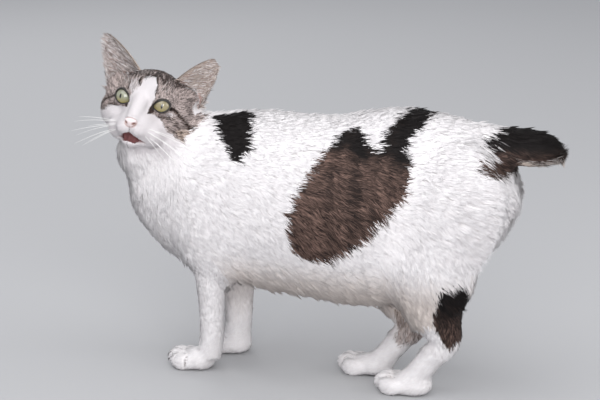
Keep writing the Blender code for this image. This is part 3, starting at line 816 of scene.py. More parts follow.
def markings(points, names):
    """Columns: dark, tabby, warm and tan shares of the colour."""
    head = np.isin(names, ("head", "jaw", "neck"))
    ear = np.isin(names, ("ear_left", "ear_right"))
    tail = names == "tail"
    x, y, z = (points - MOVED).T
    dark, warm = trunk_marks(points)
    dark_head, tabby_head, tan_head = head_marks(points)
    left, right = leg_marks(points)
    buff, pale_end = tail_pales(x, z)

    from_head_middle = np.linalg.norm(in_head(points), axis=1)
    tabby_head = tabby_head * np.where(names == "neck", step(0.066, 0.058, from_head_middle), 1.0)
    tabby = np.where(head, tabby_head, np.where(ear, 1.0, 0.75 * right))

    dark = np.maximum(dark, left)
    dark = np.where(head, np.maximum(dark_head, dark * (names == "neck")), np.where(ear, 0.0, dark))
    dark = np.where(tail, dark * (1 - np.maximum(0.8 * buff, 0.85 * pale_end)), dark)

    warm = np.where(left > 0.02, hock_warmth(points, z), warm)
    warm = np.where((head & (dark_head > 0.02)) | ear, 0.35, warm)

    tan = np.where(head, tan_head, 0.75 * right * step(0.060, 0.080, z))
    tan = np.maximum(tan, np.where(tail, np.maximum(0.8 * buff, 0.7 * pale_end), 0.0))
    # The cream under the belly and on the far legs is painted shade.
    tan = np.maximum(tan, cream_shade_share(names, x, z) * (1 - dark))
    return np.stack([dark, tabby, warm, tan], axis=1)


skin_marks = markings(skin_points, skin_names)
print("dark skin:", round(float((skin_marks[:, DARK] > 0.5).mean()), 3))

# %% [markdown]
# ## Unrolled skin
# When the model is exported, the colour of every surface is baked to a flat map. Each tuft gets a small
# patch of that map at the place of its root, so it needs an unwrap of the skin. The trunk, the limbs
# and the head are unrolled round their own middle lines into tiles of the square.

# %% Tiles of the map
TILES = {
    # part: tile's corner and size, middle line's point, the axis it runs along, its length
    "trunk": ((0.01, 0.01, 0.58, 0.58), (-0.22, 0.0, 0.19), "x", 0.50),
    "head": ((0.61, 0.01, 0.38, 0.38), (0.0, 0.0, -0.004), "round", 0.0),
    "ear_left": ((0.61, 0.41, 0.18, 0.18), (0.0, 0.0, 0.0), "ear", 0.0),
    "ear_right": ((0.81, 0.41, 0.18, 0.18), (0.0, 0.0, 0.0), "ear", 0.0),
    "leg_fore_left": ((0.01, 0.61, 0.23, 0.37), (-0.114, -0.026, 0.0), "z", 0.17),
    "leg_fore_right": ((0.26, 0.61, 0.23, 0.37), (-0.114, 0.041, 0.0), "z", 0.17),
    "leg_hind_left": ((0.51, 0.61, 0.23, 0.37), (0.125, -0.024, 0.0), "z", 0.17),
    "leg_hind_right": ((0.76, 0.61, 0.23, 0.37), (0.066, 0.026, 0.0), "z", 0.17),
}
print("tiles of the map:", len(TILES))

# %% Where a point of the skin lies on the map
def tile_of(name):
    """The tile that a node's skin is unrolled into."""
    side = name.rsplit("_", 1)[-1]
    if name.startswith("ear"):
        return name
    if name in ("head", "jaw"):
        return "head"
    if kind_of(name) in ("foreleg", "front_paw"):
        return "leg_fore_" + side
    if kind_of(name) in ("shank", "hind_foot"):
        return "leg_hind_" + side
    return "trunk"


def unrolled(points, tile, normals):
    """Places on the map for points that all belong to one tile."""
    corner, middle, axis, length = TILES[tile]
    away = points - np.array(middle)
    if axis in ("round", "ear"):
        away = in_head(points) - np.array(middle)
    turn = np.arctan2(away[:, 1], -away[:, 0]) / (2 * math.pi) + 0.5
    if axis == "ear":
        front = turned(HEAD.inverted(), normals)[:, 0] < 0
        u = np.clip((np.abs(away[:, 1]) - 0.012) / 0.066, 0, 1) * 0.48 + np.where(front, 0.0, 0.51)
        v = away[:, 2] / 0.072
    elif axis == "round":
        u = turn
        v = np.arctan2(away[:, 2], np.hypot(away[:, 0], away[:, 1])) / math.pi + 0.5
    elif axis == "x":
        u = away[:, 0] / length
        v = np.arctan2(-away[:, 1], away[:, 2]) / (2 * math.pi) + 0.5
    else:
        u = turn
        v = away[:, 2] / length
    x0, y0, wide, high = corner
    return np.stack([x0 + np.clip(u, 0, 1) * wide, y0 + np.clip(v, 0, 1) * high], axis=1)


def map_places(points, names, normals):
    """Places on the map for points of any nodes."""
    places = np.zeros((len(points), 2))
    for name in np.unique(names):
        chosen = names == name
        places[chosen] = unrolled(points[chosen], tile_of(name), normals[chosen])
    return places


print("map of the left ear:", tile_of("ear_left"), TILES["ear_left"][0])

# %% [markdown]
# ## Colour of the hair
# Skin and coat share one colour effect, so it is a node group with named inputs: it mixes white, tabby,
# tan and dark hair by the marks kept on the mesh. Each tuft also has a chance of its own, which makes
# its white a little shaded and its tabby light or dark, because no two locks of a real coat are alike.
# Wiring nodes by mouse would do the same, but the helpers keep each step of the mixing on one line.

# %% Node helpers
def named_attribute(tree, name):
    """A node that reads what a mesh keeps at its vertices under this name."""
    node = tree.nodes.new("ShaderNodeAttribute")
    node.attribute_name = name
    return node


def plug(tree, socket, value):
    """Sets a socket to a constant, or links another socket to it."""
    if isinstance(value, (tuple, float, int)):
        socket.default_value = value
    else:
        tree.links.new(value, socket)


def mix_colours(tree, factor, first, second):
    """The first colour where the factor is 0, the second where it is 1."""
    node = tree.nodes.new("ShaderNodeMix")
    node.data_type = "RGBA"
    plug(tree, node.inputs["Factor"], factor)
    plug(tree, node.inputs[6], first)
    plug(tree, node.inputs[7], second)
    return node.outputs[2]


def math_node(tree, operation, first, second=0.0):
    """One sum, product or other operation on two values."""
    node = tree.nodes.new("ShaderNodeMath")
    node.operation = operation
    plug(tree, node.inputs[0], first)
    plug(tree, node.inputs[1], second)
    return node.outputs[0]


def ramp_value(tree, value, low, high):
    """0 where the value is low, 1 where it is high."""
    node = tree.nodes.new("ShaderNodeMapRange")
    node.inputs["From Min"].default_value = low
    node.inputs["From Max"].default_value = high
    tree.links.new(value, node.inputs["Value"])
    return node.outputs[0]


def group(name, inputs, outputs):
    """An empty node group with named sockets, and its two end nodes."""
    made = bpy.data.node_groups.new(name, "ShaderNodeTree")
    for label, kind, value in inputs:
        socket = made.interface.new_socket(label, in_out="INPUT", socket_type=kind)
        socket.default_value = value
    for label, kind in outputs:
        made.interface.new_socket(label, in_out="OUTPUT", socket_type=kind)
    return made, made.nodes.new("NodeGroupInput"), made.nodes.new("NodeGroupOutput")


print("node helpers are ready, groups so far:", len(bpy.data.node_groups))

# %% Colours of the coat
WHITE_HAIR = (0.89, 0.87, 0.885, 1)
WHITE_ROOT_SHADED = (0.84, 0.80, 0.79, 1)
WHITE_SHADE = (0.67, 0.625, 0.64, 1)
TABBY_DARK = (0.055, 0.043, 0.040, 1)
TABBY_PALE = (0.570, 0.475, 0.450, 1)
TAN_DARK = (0.300, 0.215, 0.165, 1)
TAN_PALE = (0.640, 0.520, 0.430, 1)
BLACK_HAIR = (0.008, 0.006, 0.006, 1)
BROWN_DARK = (0.026, 0.017, 0.015, 1)
BROWN_PALE = (0.225, 0.142, 0.116, 1)
SHADED_SHARE = 0.90
BROWN_POWER = 1.6

colours, given, wanted = group(
    "coat colours",
    [("Dark", "NodeSocketFloat", 0.0), ("Tabby", "NodeSocketFloat", 0.0), ("Warm", "NodeSocketFloat", 0.0),
     ("Tan", "NodeSocketFloat", 0.0), ("Chance", "NodeSocketFloat", 0.5), ("Tip", "NodeSocketFloat", 1.0)],
    [("Color", "NodeSocketColor")])
chance = given.outputs["Chance"]
# White hair is darker towards its root: painted shade deep in the coat.
white = mix_colours(colours, given.outputs["Tip"], WHITE_ROOT_SHADED, WHITE_HAIR)
shaded = math_node(colours, "MULTIPLY", math_node(colours, "SUBTRACT", 1.0, chance), SHADED_SHARE)
white = mix_colours(colours, shaded, white, WHITE_SHADE)
tabby = mix_colours(colours, chance, TABBY_DARK, TABBY_PALE)
tan = mix_colours(colours, chance, TAN_DARK, TAN_PALE)
brown = mix_colours(colours, math_node(colours, "POWER", chance, BROWN_POWER), BROWN_DARK, BROWN_PALE)
black = mix_colours(colours, given.outputs["Warm"], BLACK_HAIR, brown)
coloured = mix_colours(colours, given.outputs["Tabby"], white, tabby)
coloured = mix_colours(colours, given.outputs["Tan"], coloured, tan)
coloured = mix_colours(colours, given.outputs["Dark"], coloured, black)
colours.links.new(coloured, wanted.inputs["Color"])
print("nodes in the colour group:", len(colours.nodes))

# %% Read the marks of a mesh
def marked_colour(tree):
    """The colour of skin or coat from the marks kept on the mesh."""
    node = tree.nodes.new("ShaderNodeGroup")
    node.node_tree = colours
    marks = tree.nodes.new("ShaderNodeSeparateColor")
    tree.links.new(named_attribute(tree, "marks").outputs["Color"], marks.inputs[0])
    for label, channel in (("Dark", "Red"), ("Tabby", "Green"), ("Warm", "Blue")):
        tree.links.new(marks.outputs[channel], node.inputs[label])
    strand = tree.nodes.new("ShaderNodeSeparateColor")
    tree.links.new(named_attribute(tree, "strand").outputs["Color"], strand.inputs[0])
    for label, channel in (("Chance", "Red"), ("Tip", "Green"), ("Tan", "Blue")):
        tree.links.new(strand.outputs[channel], node.inputs[label])
    return node.outputs["Color"]


def material(name, roughness):
    """A new material, its node tree and its shader."""
    made = bpy.data.materials.new(name)
    made.use_nodes = True
    shader = made.node_tree.nodes["Principled BSDF"]
    shader.inputs["Roughness"].default_value = roughness
    return made, made.node_tree, shader

# %% [markdown]
# ## The coat's finish
# Hair is rough to the light, with a faint sheen at a low angle. The tufts are so thin that they need no
# bump of their own.

# %% The coat's material
fur, tree, shader = material("coat hair", 0.62)
tree.links.new(marked_colour(tree), shader.inputs["Base Color"])
shader.inputs["Specular IOR Level"].default_value = 0.15
shader.inputs["Sheen Weight"].default_value = 0.03
shader.inputs["Sheen Roughness"].default_value = 0.4
print("made the material", fur.name)

# %% [markdown]
# ## The skin's own finish
# Between the tufts the eye meets the undercoat, so the skin has the coat's colours, its white darkened as
# at the roots for painted shade deep in the coat, and a fine bump of short hair. Inside the ears and at the
# seat of the nose it is pink, on the edges of the lids it is black, and in the mouth it is red, darkened as
# painted shade of the inside.

# %% The skin's material
PINK_SKIN = (0.44, 0.29, 0.26, 1)
# The mouth's red is the colour of its flesh, darkened as painted shade of the inside.
MOUTH_RED_IN_SHADE = (0.190, 0.068, 0.068, 1)
LID_DARK = (0.014, 0.010, 0.009, 1)

hide, tree, shader = material("skin and undercoat", 0.7)
strand_noise = tree.nodes.new("ShaderNodeTexNoise")
strand_noise.inputs["Scale"].default_value = 900.0
strand_noise.inputs["Detail"].default_value = 4.0
spot = tree.nodes.new("ShaderNodeTexCoord")
tree.links.new(spot.outputs["Object"], strand_noise.inputs["Vector"])
bare_parts = tree.nodes.new("ShaderNodeSeparateColor")
tree.links.new(named_attribute(tree, "bare").outputs["Color"], bare_parts.inputs[0])
base = marked_colour(tree)
base = mix_colours(tree, bare_parts.outputs["Green"], base, PINK_SKIN)
base = mix_colours(tree, bare_parts.outputs["Blue"], base, MOUTH_RED_IN_SHADE)
base = mix_colours(tree, bare_parts.outputs["Red"], base, LID_DARK)
tree.links.new(base, shader.inputs["Base Color"])
bump = tree.nodes.new("ShaderNodeBump")
bump.inputs["Strength"].default_value = 0.35
bump.inputs["Distance"].default_value = 0.0006
tree.links.new(strand_noise.outputs["Fac"], bump.inputs["Height"])
tree.links.new(bump.outputs["Normal"], shader.inputs["Normal"])
print("made the material", hide.name)

# %% [markdown]
# ## Dress the skin
# The marks are kept on the mesh as colour attributes, and the material reads them by name. The skin
# shows between the tufts, inside the ears, on the lids and in the mouth. The inside of an ear is where
# the skin faces forward in the head's frame. Its rim is where the skin turns from front to back.

# %% Insides and rims of the ears
def colour_attribute(mesh, name, columns):
    """Keeps up to three numbers for each vertex as a colour attribute."""
    layer = mesh.attributes.new(name, "FLOAT_COLOR", "POINT")
    full = np.ones((len(columns), 4), np.float32)
    full[:, :columns.shape[1]] = columns
    layer.data.foreach_set("color", full.ravel())


LONGER_IN_HEAD = 1.06
facing = turned(HEAD.inverted(), skin_normals)[:, 0] / LONGER_IN_HEAD
inner_ear = spread(np.where(on_ear, step(-0.10, -0.35, facing), 0.0), skin_edges, 3)
turning = (1 - step(0.25, 0.55, np.abs(facing + 0.1))) * step(0.022, 0.030, own[:, 2])
ear_rim = np.clip(2.6 * spread(np.where(on_ear, turning, 0.0), skin_edges, 9), 0, 1)
print("points inside the ears:", int((inner_ear > 0.5).sum()), "on their rims:", int((ear_rim > 0.5).sum()))

# %% Keep the marks on the skin
rng = np.random.default_rng(11)
chance = rng.uniform(0.2, 0.8, len(skin_points))
white_skin = np.maximum(skin_marks[:, DARK], skin_marks[:, TABBY]) < 0.5
chance = np.where(white_skin, 0.5 + 0.5 * chance, chance)
# On the front of the face the white skin is darkened: painted shade.
chance *= 1 - 0.72 * white_skin * on_head * step(0.020, -0.010, own[:, 0])
pink = np.clip(0.75 * inner_ear + 0.7 * nose_seat + 0.10 * crease, 0, 1)
# The creases of the feet are darkened: painted shade in the creases.
skin_marks[:, DARK] = np.maximum(skin_marks[:, DARK], 0.65 * crease)
colour_attribute(skin.data, "marks", skin_marks[:, :3])
# The skin between the tufts takes much of the roots' darker white: painted shade deep in the coat.
undercoat_shade = np.full(len(chance), 0.4)
colour_attribute(skin.data, "strand", np.stack([chance, undercoat_shade, skin_marks[:, TAN]], axis=1))
colour_attribute(skin.data, "bare", np.stack([lid_edge, pink, mouth], axis=1))
skin.data.materials.clear()
skin.data.materials.append(hide)
print("kept on the skin:", [layer.name for layer in skin.data.color_attributes])

# %% [markdown]
# A map gives each corner of each face a place on a flat picture, here for a later bake. Where a face
# reaches over the border of a tile, its corners would be smeared across the picture, so such a face is
# drawn together at its first corner.

# %% Lay the skin on the map
SEAM_STRETCH = 0.06

corner_vertex = np.zeros(len(skin.data.loops), int)
skin.data.loops.foreach_get("vertex_index", corner_vertex)
first_corner = np.zeros(len(skin.data.polygons), int)
skin.data.polygons.foreach_get("loop_start", first_corner)
corner_count = np.zeros(len(skin.data.polygons), int)
skin.data.polygons.foreach_get("loop_total", corner_count)
skin_uv = map_places(skin_points, skin_names, skin_normals)[corner_vertex]
start_uv = np.repeat(skin_uv[first_corner], corner_count, axis=0)
across_seam = np.abs(skin_uv - start_uv).max(axis=1) > SEAM_STRETCH
broken = np.repeat(np.maximum.reduceat(across_seam, first_corner), corner_count)
skin_uv = np.where(broken[:, None], start_uv, skin_uv)
layer = skin.data.uv_layers.new(name="OFBake")
layer.data.foreach_set("uv", skin_uv.astype(np.float32).ravel())
print("faces on a seam of the map:", int(broken.sum() / 3))

# %% Say what the skin takes the place of
skin.data.shade_smooth()
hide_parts(*FLESH)
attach(skin, "root")
print("the skin replaces", len(FLESH), "nodes")

# %% [markdown]
# ## The lie of the coat
# Hair lies back from the nose over the head, round the eyes, down the neck and the chest, back along
# the trunk and down the legs. A direction is given for each part, spread over the mesh like the
# lengths, and laid flat on the surface. Combing it by hand in sculpt mode would also do, but could not
# be repeated after a change of shape.

# %% Which way the hair of the body lies
def body_ways(points, kinds):
    """Back along the trunk, down the chest and the legs, forward on the feet and out along the tail."""
    x, y, z = (points - MOVED).T
    count = len(points)
    down = 0.10 + 0.75 * step(0.250, 0.150, z)
    ways = np.stack([np.ones(count), np.zeros(count), -down], axis=1)
    chest = step(-0.105, -0.150, x + 0.25 * (z - 0.20))[:, None]
    ways = ways * (1 - chest) + np.array((0.30, 0.0, -1.0)) * chest
    ways[kinds == "neck"] = (0.45, 0.0, -0.85)
    ways[kinds == "thigh"] = (0.45, 0.0, -0.90)
    ways[np.isin(kinds, ("foreleg", "shank"))] = (0.10, 0.0, -1.0)
    ways[np.isin(kinds, ("front_paw", "hind_foot"))] = (-0.85, 0.0, -0.45)
    tail = kinds == "tail"
    ways[tail] = np.stack([np.ones(count), 9 * y, 7 * (z - 0.258) - 0.15], axis=1)[tail]
    return ways


skin_kinds = np.array([kind_of(name) for name in skin_names])
ways = body_ways(skin_points, skin_kinds)
print("ways of the body's hair:", ways.shape)

# %% Which way the hair of the head lies
HAIR_STARTS = np.array((-0.058, 0.0, -0.020))


def face_ways(place):
    """Away from the nose and from round the eyes, in the head's frame."""
    outward = place - HAIR_STARTS
    outward[:, 2] -= np.where(place[:, 2] < -0.03, 0.02, 0.0)
    outward = unit(outward)
    for side in (-1, 1):
        from_eye = place - EYE_CENTRES[side]
        outward += 2.2 * unit(from_eye) * nearness(place, EYE_CENTRES[side], 0.0125, 0.0060)[:, None]
    return outward


def ear_ways(place):
    """Up and out to the tips of the ears, in the head's frame."""
    count = len(place)
    return np.stack([np.full(count, 0.2), np.sign(place[:, 1]) * 0.5, np.full(count, 1.0)], axis=1)


place = in_head(skin_points)
ways[on_head] = turned(HEAD, face_ways(place))[on_head]
ways[on_ear] = turned(HEAD, ear_ways(place))[on_ear]
lie = spread(unit(ways), skin_edges, 9)
lie = unit(lie - skin_normals * (lie * skin_normals).sum(axis=1, keepdims=True))
print("mean way of the coat:", lie.mean(axis=0).round(2))

# %% [markdown]
# ## Tufts
# One tuft is a closed leaf of four points and four triangles: a root sunk in the skin, two sides and a
# tip. Thousands of them are laid at once with arrays, because particle hair and instances would not
# survive the export. Roots are drawn in proportion to each triangle's area and to the number of tufts
# wanted there.

# %% Helpers for the roots
skin.data.calc_loop_triangles()
triangles = np.zeros(len(skin.data.loop_triangles) * 3, np.int32)
skin.data.loop_triangles.foreach_get("vertices", triangles)
triangles = triangles.reshape(-1, 3)


def scatter(numbers, seed):
    """Triangle and barycentric shares for each root, from the wanted number on each triangle."""
    rng = np.random.default_rng(seed)
    reach = np.cumsum(numbers)
    total = int(reach[-1])
    picks = (np.arange(total) + rng.uniform(0, 1, total)) * (reach[-1] / total)
    chosen = np.clip(np.searchsorted(reach, picks), 0, len(numbers) - 1)
    a, b = rng.uniform(0, 1, (2, total))
    flip = a + b > 1
    a[flip], b[flip] = 1 - a[flip], 1 - b[flip]
    return chosen, np.stack([1 - a - b, a, b], axis=1)


def at_roots(values, chosen, shares):
    """Vertex values carried over to the roots."""
    picked = values[triangles[chosen]]
    if values.ndim == 1:
        return (picked * shares).sum(axis=1)
    return (picked * shares[:, :, None]).sum(axis=1)


print("triangles of the skin:", len(triangles))

# %% Scatter the roots
COAT_SHARE = 1.0
SQUARE_MM = 1e6
SOLE_HEIGHT = 0.0012

edge_a = skin_points[triangles[:, 1]] - skin_points[triangles[:, 0]]
edge_b = skin_points[triangles[:, 2]] - skin_points[triangles[:, 0]]
areas = 0.5 * np.linalg.norm(np.cross(edge_a, edge_b), axis=1) * SQUARE_MM
furred = (1 - bare) * (1 - 0.62 * inner_ear) * (1 - 0.90 * crease)
furred[skin_points[:, 2] < SOLE_HEIGHT] = 0
wanted_here = areas * (coat[:, NUMBER] * furred)[triangles].mean(axis=1)
chosen, shares = scatter(wanted_here * COAT_SHARE, 21)
roots = at_roots(skin_points, chosen, shares)
root_names = skin_names[triangles[chosen, 0]]
print("skin area:", round(areas.sum() / 100), "sq cm, tufts:", len(roots))

# %% [markdown]
# A coat doesn't lie hair by hair: neighbours cling together in locks. So locks are scattered too, about
# one for six tufts on the head and one for sixteen elsewhere, and each tuft joins the nearest lock. The
# tufts of a lock share a turn, a length, a lift and a shade, and bend a little towards its middle.

# %% Scatter the locks and gather the tufts
LOCK_SHARE = np.where(on_head, 1 / 6, 1 / 16)

lock_chosen, lock_shares = scatter(wanted_here * LOCK_SHARE[triangles].mean(axis=1), 22)
lock_roots = at_roots(skin_points, lock_chosen, lock_shares)
lock_tree = KDTree(len(lock_roots))
for number, spot in enumerate(lock_roots):
    lock_tree.insert(spot, number)
lock_tree.balance()
lock_of = np.array([lock_tree.find(spot)[1] for spot in roots])
print("locks:", len(lock_roots))

# %% [markdown]
# The lie of the coat sways a little over the body, which gives the flank its soft waves. Inside the ears
# the hair stands out to the sides as a fringe. One tuft in fifty is a stray that stands higher.

# %% Turn each tuft
rng = np.random.default_rng(31)
count, locks = len(roots), len(lock_roots)
root_normals = unit(at_roots(skin_normals, chosen, shares))
root_coat = at_roots(coat, chosen, shares)
root_ear = at_roots(inner_ear, chosen, shares)
root_rim = at_roots(ear_rim, chosen, shares)
waves = 13 * wobble(lock_roots, 0.045, 41) + 9 * wobble(lock_roots, 0.016, 42)
sway = np.radians(waves) + rng.normal(0, 0.10, locks)
turn = sway[lock_of] + rng.normal(0, 0.09, count)


def flat_on(ways, normals):
    """Ways laid flat on the surface with these normals."""
    return unit(ways - normals * (ways * normals).sum(axis=1, keepdims=True))


root_lie = flat_on(at_roots(lie, chosen, shares), root_normals)
to_side = np.stack([np.zeros(count), np.sign(in_head(roots)[:, 1]), np.full(count, 0.35)], axis=1)
to_side = turned(HEAD, to_side)
fringe = 20 * to_side * root_ear[:, None]
root_lie = flat_on(root_lie * (1 - root_ear)[:, None] + fringe, root_normals)
beside = np.cross(root_normals, root_lie)
root_lie = root_lie * np.cos(turn)[:, None] + beside * np.sin(turn)[:, None]
beside = np.cross(root_normals, root_lie)
print("mean turn of a tuft, degrees:", round(float(np.degrees(np.abs(turn)).mean()), 1))

# %% Length, width and lift of each tuft
STRAYS = 0.02
LOCK_PULL = 0.004

lengths = root_coat[:, LENGTH] * MM * rng.uniform(0.86, 1.16, locks)[lock_of]
lengths *= rng.uniform(0.80, 1.15, count)
lengths *= (1 + 1.6 * root_ear) * (1 - 0.60 * root_rim)
widths = root_coat[:, WIDTH] * MM * rng.uniform(0.75, 1.25, count) * (1 - 0.30 * root_ear)
lifts = np.radians(root_coat[:, LIFT] + 9 * root_ear)
lifts *= rng.uniform(0.85, 1.15, locks)[lock_of] * rng.uniform(0.85, 1.15, count)
stray = rng.uniform(0, 1, count) < STRAYS
lifts[stray] *= 1.7
widths[stray] *= 0.55
towards_lock = ((lock_roots[lock_of] - roots) * beside).sum(axis=1)
towards_lock = np.clip(towards_lock, -LOCK_PULL, LOCK_PULL)
print("mean length and width of a tuft, mm:", (lengths.mean() / MM).round(1), (widths.mean() / MM).round(2))

# %% [markdown]
# A leaf rises from its root to the middle and flattens towards its tip, as a guard hair does. Its shading
# normals are those of the skin, turned a little to either side. So the light runs over the coat as over
# one soft surface, and not over hundreds of thousands of hard facets.

# %% Bend the leaves
CURL = 0.30


def laid_leaves(roots, normals, ways, beside, lengths, widths, lifts, pull, curl):
    """Root, two sides and tip of each leaf, as an array of leaves by four points."""
    rise = np.cos(lifts)[:, None] * ways + np.sin(lifts)[:, None] * normals
    flat = np.cos(lifts * curl)[:, None] * ways + np.sin(lifts * curl)[:, None] * normals
    long = lengths[:, None]
    half = 0.5 * widths[:, None]
    start = roots - normals * 0.0003
    middle = roots + rise * (0.40 * long) + beside * (0.20 * pull[:, None])
    middle = middle + normals * (0.15 * widths[:, None])
    tip = middle + flat * (0.60 * long) + beside * (0.45 * pull[:, None])
    return np.stack([start, middle - beside * half, middle + beside * half, tip], axis=1)


leaves = laid_leaves(roots, root_normals, root_lie, beside, lengths, widths, lifts, towards_lock, CURL)
round_off = np.where(np.isin(root_names, ("head", "jaw", "ear_left", "ear_right")), 0.60, 0.30)[:, None]
soft_normals = np.stack([root_normals, root_normals - round_off * beside, root_normals + round_off * beside,
                         root_normals + 0.25 * root_lie], axis=1)
print("leaves:", leaves.shape)

# %% [markdown]
# ## The colour of each tuft
# A tuft at the edge of a patch is mostly dark or white and seldom grey: the share of dark there is the
# chance that it is dark. The marks are read at a place drawn along the tuft, mixed with a place on its
# lock, so that whole locks change colour together. On the face the white tufts are darker, as painted
# shade, and a quarter of the fringe in the ears is white.

# %% Where the colours are read, and how light each tuft is
colour_at = roots + root_lie * (rng.uniform(0.15, 1.0, count) * lengths)[:, None]
lock_colour_at = lock_roots[lock_of] + root_lie * (0.60 * root_coat[:, LENGTH] * MM)[:, None]
tuft_marks = markings(0.75 * colour_at + 0.25 * lock_colour_at, root_names)
speckle = wobble(roots, 0.0035, 51)
lock_chance = rng.uniform(-0.5, 0.5, locks)[lock_of]
own_chance = rng.uniform(-0.5, 0.5, count)
tuft_chance = np.clip(0.5 + 0.45 * lock_chance + 0.95 * own_chance + 0.22 * speckle, 0, 1)
print("tufts that are half dark or more:", int((tuft_marks[:, DARK] > 0.5).sum()))

# %% One colour for each tuft
for column in (DARK, TABBY):
    threshold = rng.uniform(0.18, 0.82, count)
    tuft_marks[:, column] = step(-0.14, 0.14, tuft_marks[:, column] - threshold)
white_tuft = np.maximum(tuft_marks[:, DARK], tuft_marks[:, TABBY]) < 0.5
# On the front of the face the white tufts are darkened: painted shade.
face_shade_mask = np.isin(root_names, ("head", "jaw")) * step(0.020, -0.010, in_head(roots)[:, 0])
tuft_chance[white_tuft] = 0.5 + 0.5 * tuft_chance[white_tuft]
tuft_chance *= 1 - 0.72 * face_shade_mask * white_tuft * (tuft_marks[:, TAN] < 0.3)
print("white tufts:", int(white_tuft.sum()), "of", count)

# %% The hair of the ears
WHITE_WISPS = 0.26

# The hair inside the ears is tan, pinker in the left ear, and darkened as painted shade in the cups of the
# ears, more in the right ear.
right_side = in_head(roots)[:, 1] > 0
ear_tan = np.where(right_side, 0.15, 0.50) * root_ear
tuft_marks[:, TAN] = np.maximum(tuft_marks[:, TAN], np.maximum(0.80 * root_rim, ear_tan))
tuft_marks[:, TABBY] *= 1 - np.where(right_side, 0.15, 0.30) * root_ear
wisp = rng.uniform(0, 1, count) < WHITE_WISPS * root_ear
tuft_marks[wisp, TABBY] = 0.0
tuft_marks[wisp, TAN] = 0.10
tuft_chance = np.clip(tuft_chance + 0.6 * root_rim - 0.08 * root_ear, 0, 1)
tuft_uv = map_places(roots, root_names, root_normals)
print("white wisps in the ears:", int(wisp.sum()))

# %% [markdown]
# ## Pieces of the coat
# A mesh of more than 200,000 triangles is hard to handle, so the coat is kept in pieces by the part of
# the body. All of them share the coat's material. The meshes are filled from arrays in one go, which
# takes seconds where adding faces one by one would take many minutes.

# %% Make one mesh of leaves
LEAF_FACES = np.array(((0, 1, 2), (1, 3, 2), (0, 3, 1), (0, 2, 3)))
LEAF_PATCH = np.array(((0.0, -0.0015), (-0.0012, -0.0002), (0.0012, -0.0002), (0.0, 0.0015)))
# How far along each leaf a point lies; the white is darker towards the root as painted shade.
ALONG_LEAF = np.array((0.0, 0.55, 0.55, 1.0))


def leaf_mesh(name, part):
    """One mesh of the closed leaves of these numbers, with their marks and patches of the map."""
    number = len(part)
    mesh = bpy.data.meshes.new(name)
    mesh.vertices.add(number * 4)
    mesh.vertices.foreach_set("co", leaves[part].astype(np.float32).ravel())
    faces = (LEAF_FACES[None] + 4 * np.arange(number)[:, None, None]).reshape(-1, 3)
    mesh.loops.add(faces.size)
    mesh.loops.foreach_set("vertex_index", faces.astype(np.int32).ravel())
    mesh.polygons.add(len(faces))
    mesh.polygons.foreach_set("loop_start", np.arange(0, faces.size, 3, dtype=np.int32))
    mesh.update(calc_edges=True)
    marks = np.repeat(tuft_marks[part], 4, axis=0)
    strand = np.stack([np.repeat(tuft_chance[part], 4), np.tile(ALONG_LEAF, number), marks[:, TAN]], axis=1)
    colour_attribute(mesh, "marks", marks[:, :3])
    colour_attribute(mesh, "strand", strand)
    corner_places = tuft_uv[part][:, None, :] + LEAF_PATCH[None]
    layer = mesh.uv_layers.new(name="OFBake")
    layer.data.foreach_set("uv", corner_places.reshape(-1, 2)[faces.ravel()].astype(np.float32).ravel())
    mesh.shade_smooth()
    mesh.normals_split_custom_set_from_vertices(unit(soft_normals[part]).reshape(-1, 3).tolist())
    made = mesh_object(name, mesh)
    made.data.materials.append(fur)
    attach(made, "root")


print("triangles of a leaf:", len(LEAF_FACES))

# %% Make the coat's pieces
PIECE_LIMIT = 48000


def coat_pieces(label, kinds):
    """Makes one or more pieces of the tufts on these kinds of node, none too large."""
    names = [name for name in FLESH if kind_of(name) in kinds]
    numbers = np.flatnonzero(np.isin(root_names, names))
    parts = max(1, math.ceil(len(numbers) / PIECE_LIMIT))
    for i, part in enumerate(np.array_split(numbers, parts)):
        name = label if parts == 1 else f"{label}_{i + 1}"
        leaf_mesh(name, part)
        print(name, len(part) * 4, "triangles")


coat_pieces("coat_trunk", ("torso", "neck"))
coat_pieces("coat_haunches", ("thigh",))
coat_pieces("coat_tail", ("tail",))
coat_pieces("coat_legs", ("foreleg", "shank"))
coat_pieces("coat_feet", ("front_paw", "hind_foot"))
coat_pieces("coat_head", ("head", "jaw"))
coat_pieces("coat_ears", ("ear",))

# %% [markdown]
# ## Eyes
# Each eye is a ball with the bulge of the cornea in front. The iris is painted by how far a point is
# from the gaze, in nodes and not in a picture: a yellow-green ring, darker at its rim, with a painted
# shadow of the upper lid across its top, fine spokes and an upright slit. A point is in the slit where it
# is nearer to the upright middle line than half the slit's width, and that width shrinks away from the
# middle.

# %% Places on the iris
iris, tree, shader = material("eye", 0.12)
shader.inputs["Coat Weight"].default_value = 1.0
shader.inputs["Coat Roughness"].default_value = 0.03
where = tree.nodes.new("ShaderNodeSeparateColor")
tree.links.new(named_attribute(tree, "gaze").outputs["Color"], where.inputs[0])
across = math_node(tree, "MULTIPLY", math_node(tree, "SUBTRACT", where.outputs["Red"], 0.5), 2.0)
upward = math_node(tree, "MULTIPLY", math_node(tree, "SUBTRACT", where.outputs["Green"], 0.5), 2.0)
squares = math_node(tree, "ADD", math_node(tree, "MULTIPLY", across, across),
                    math_node(tree, "MULTIPLY", upward, upward))
ring = math_node(tree, "SQRT", squares)
print("nodes that place the iris:", len(tree.nodes))

# %% Fine spokes
SPOKES_ROUND, SPOKES_OUT = 9.0, 2.5

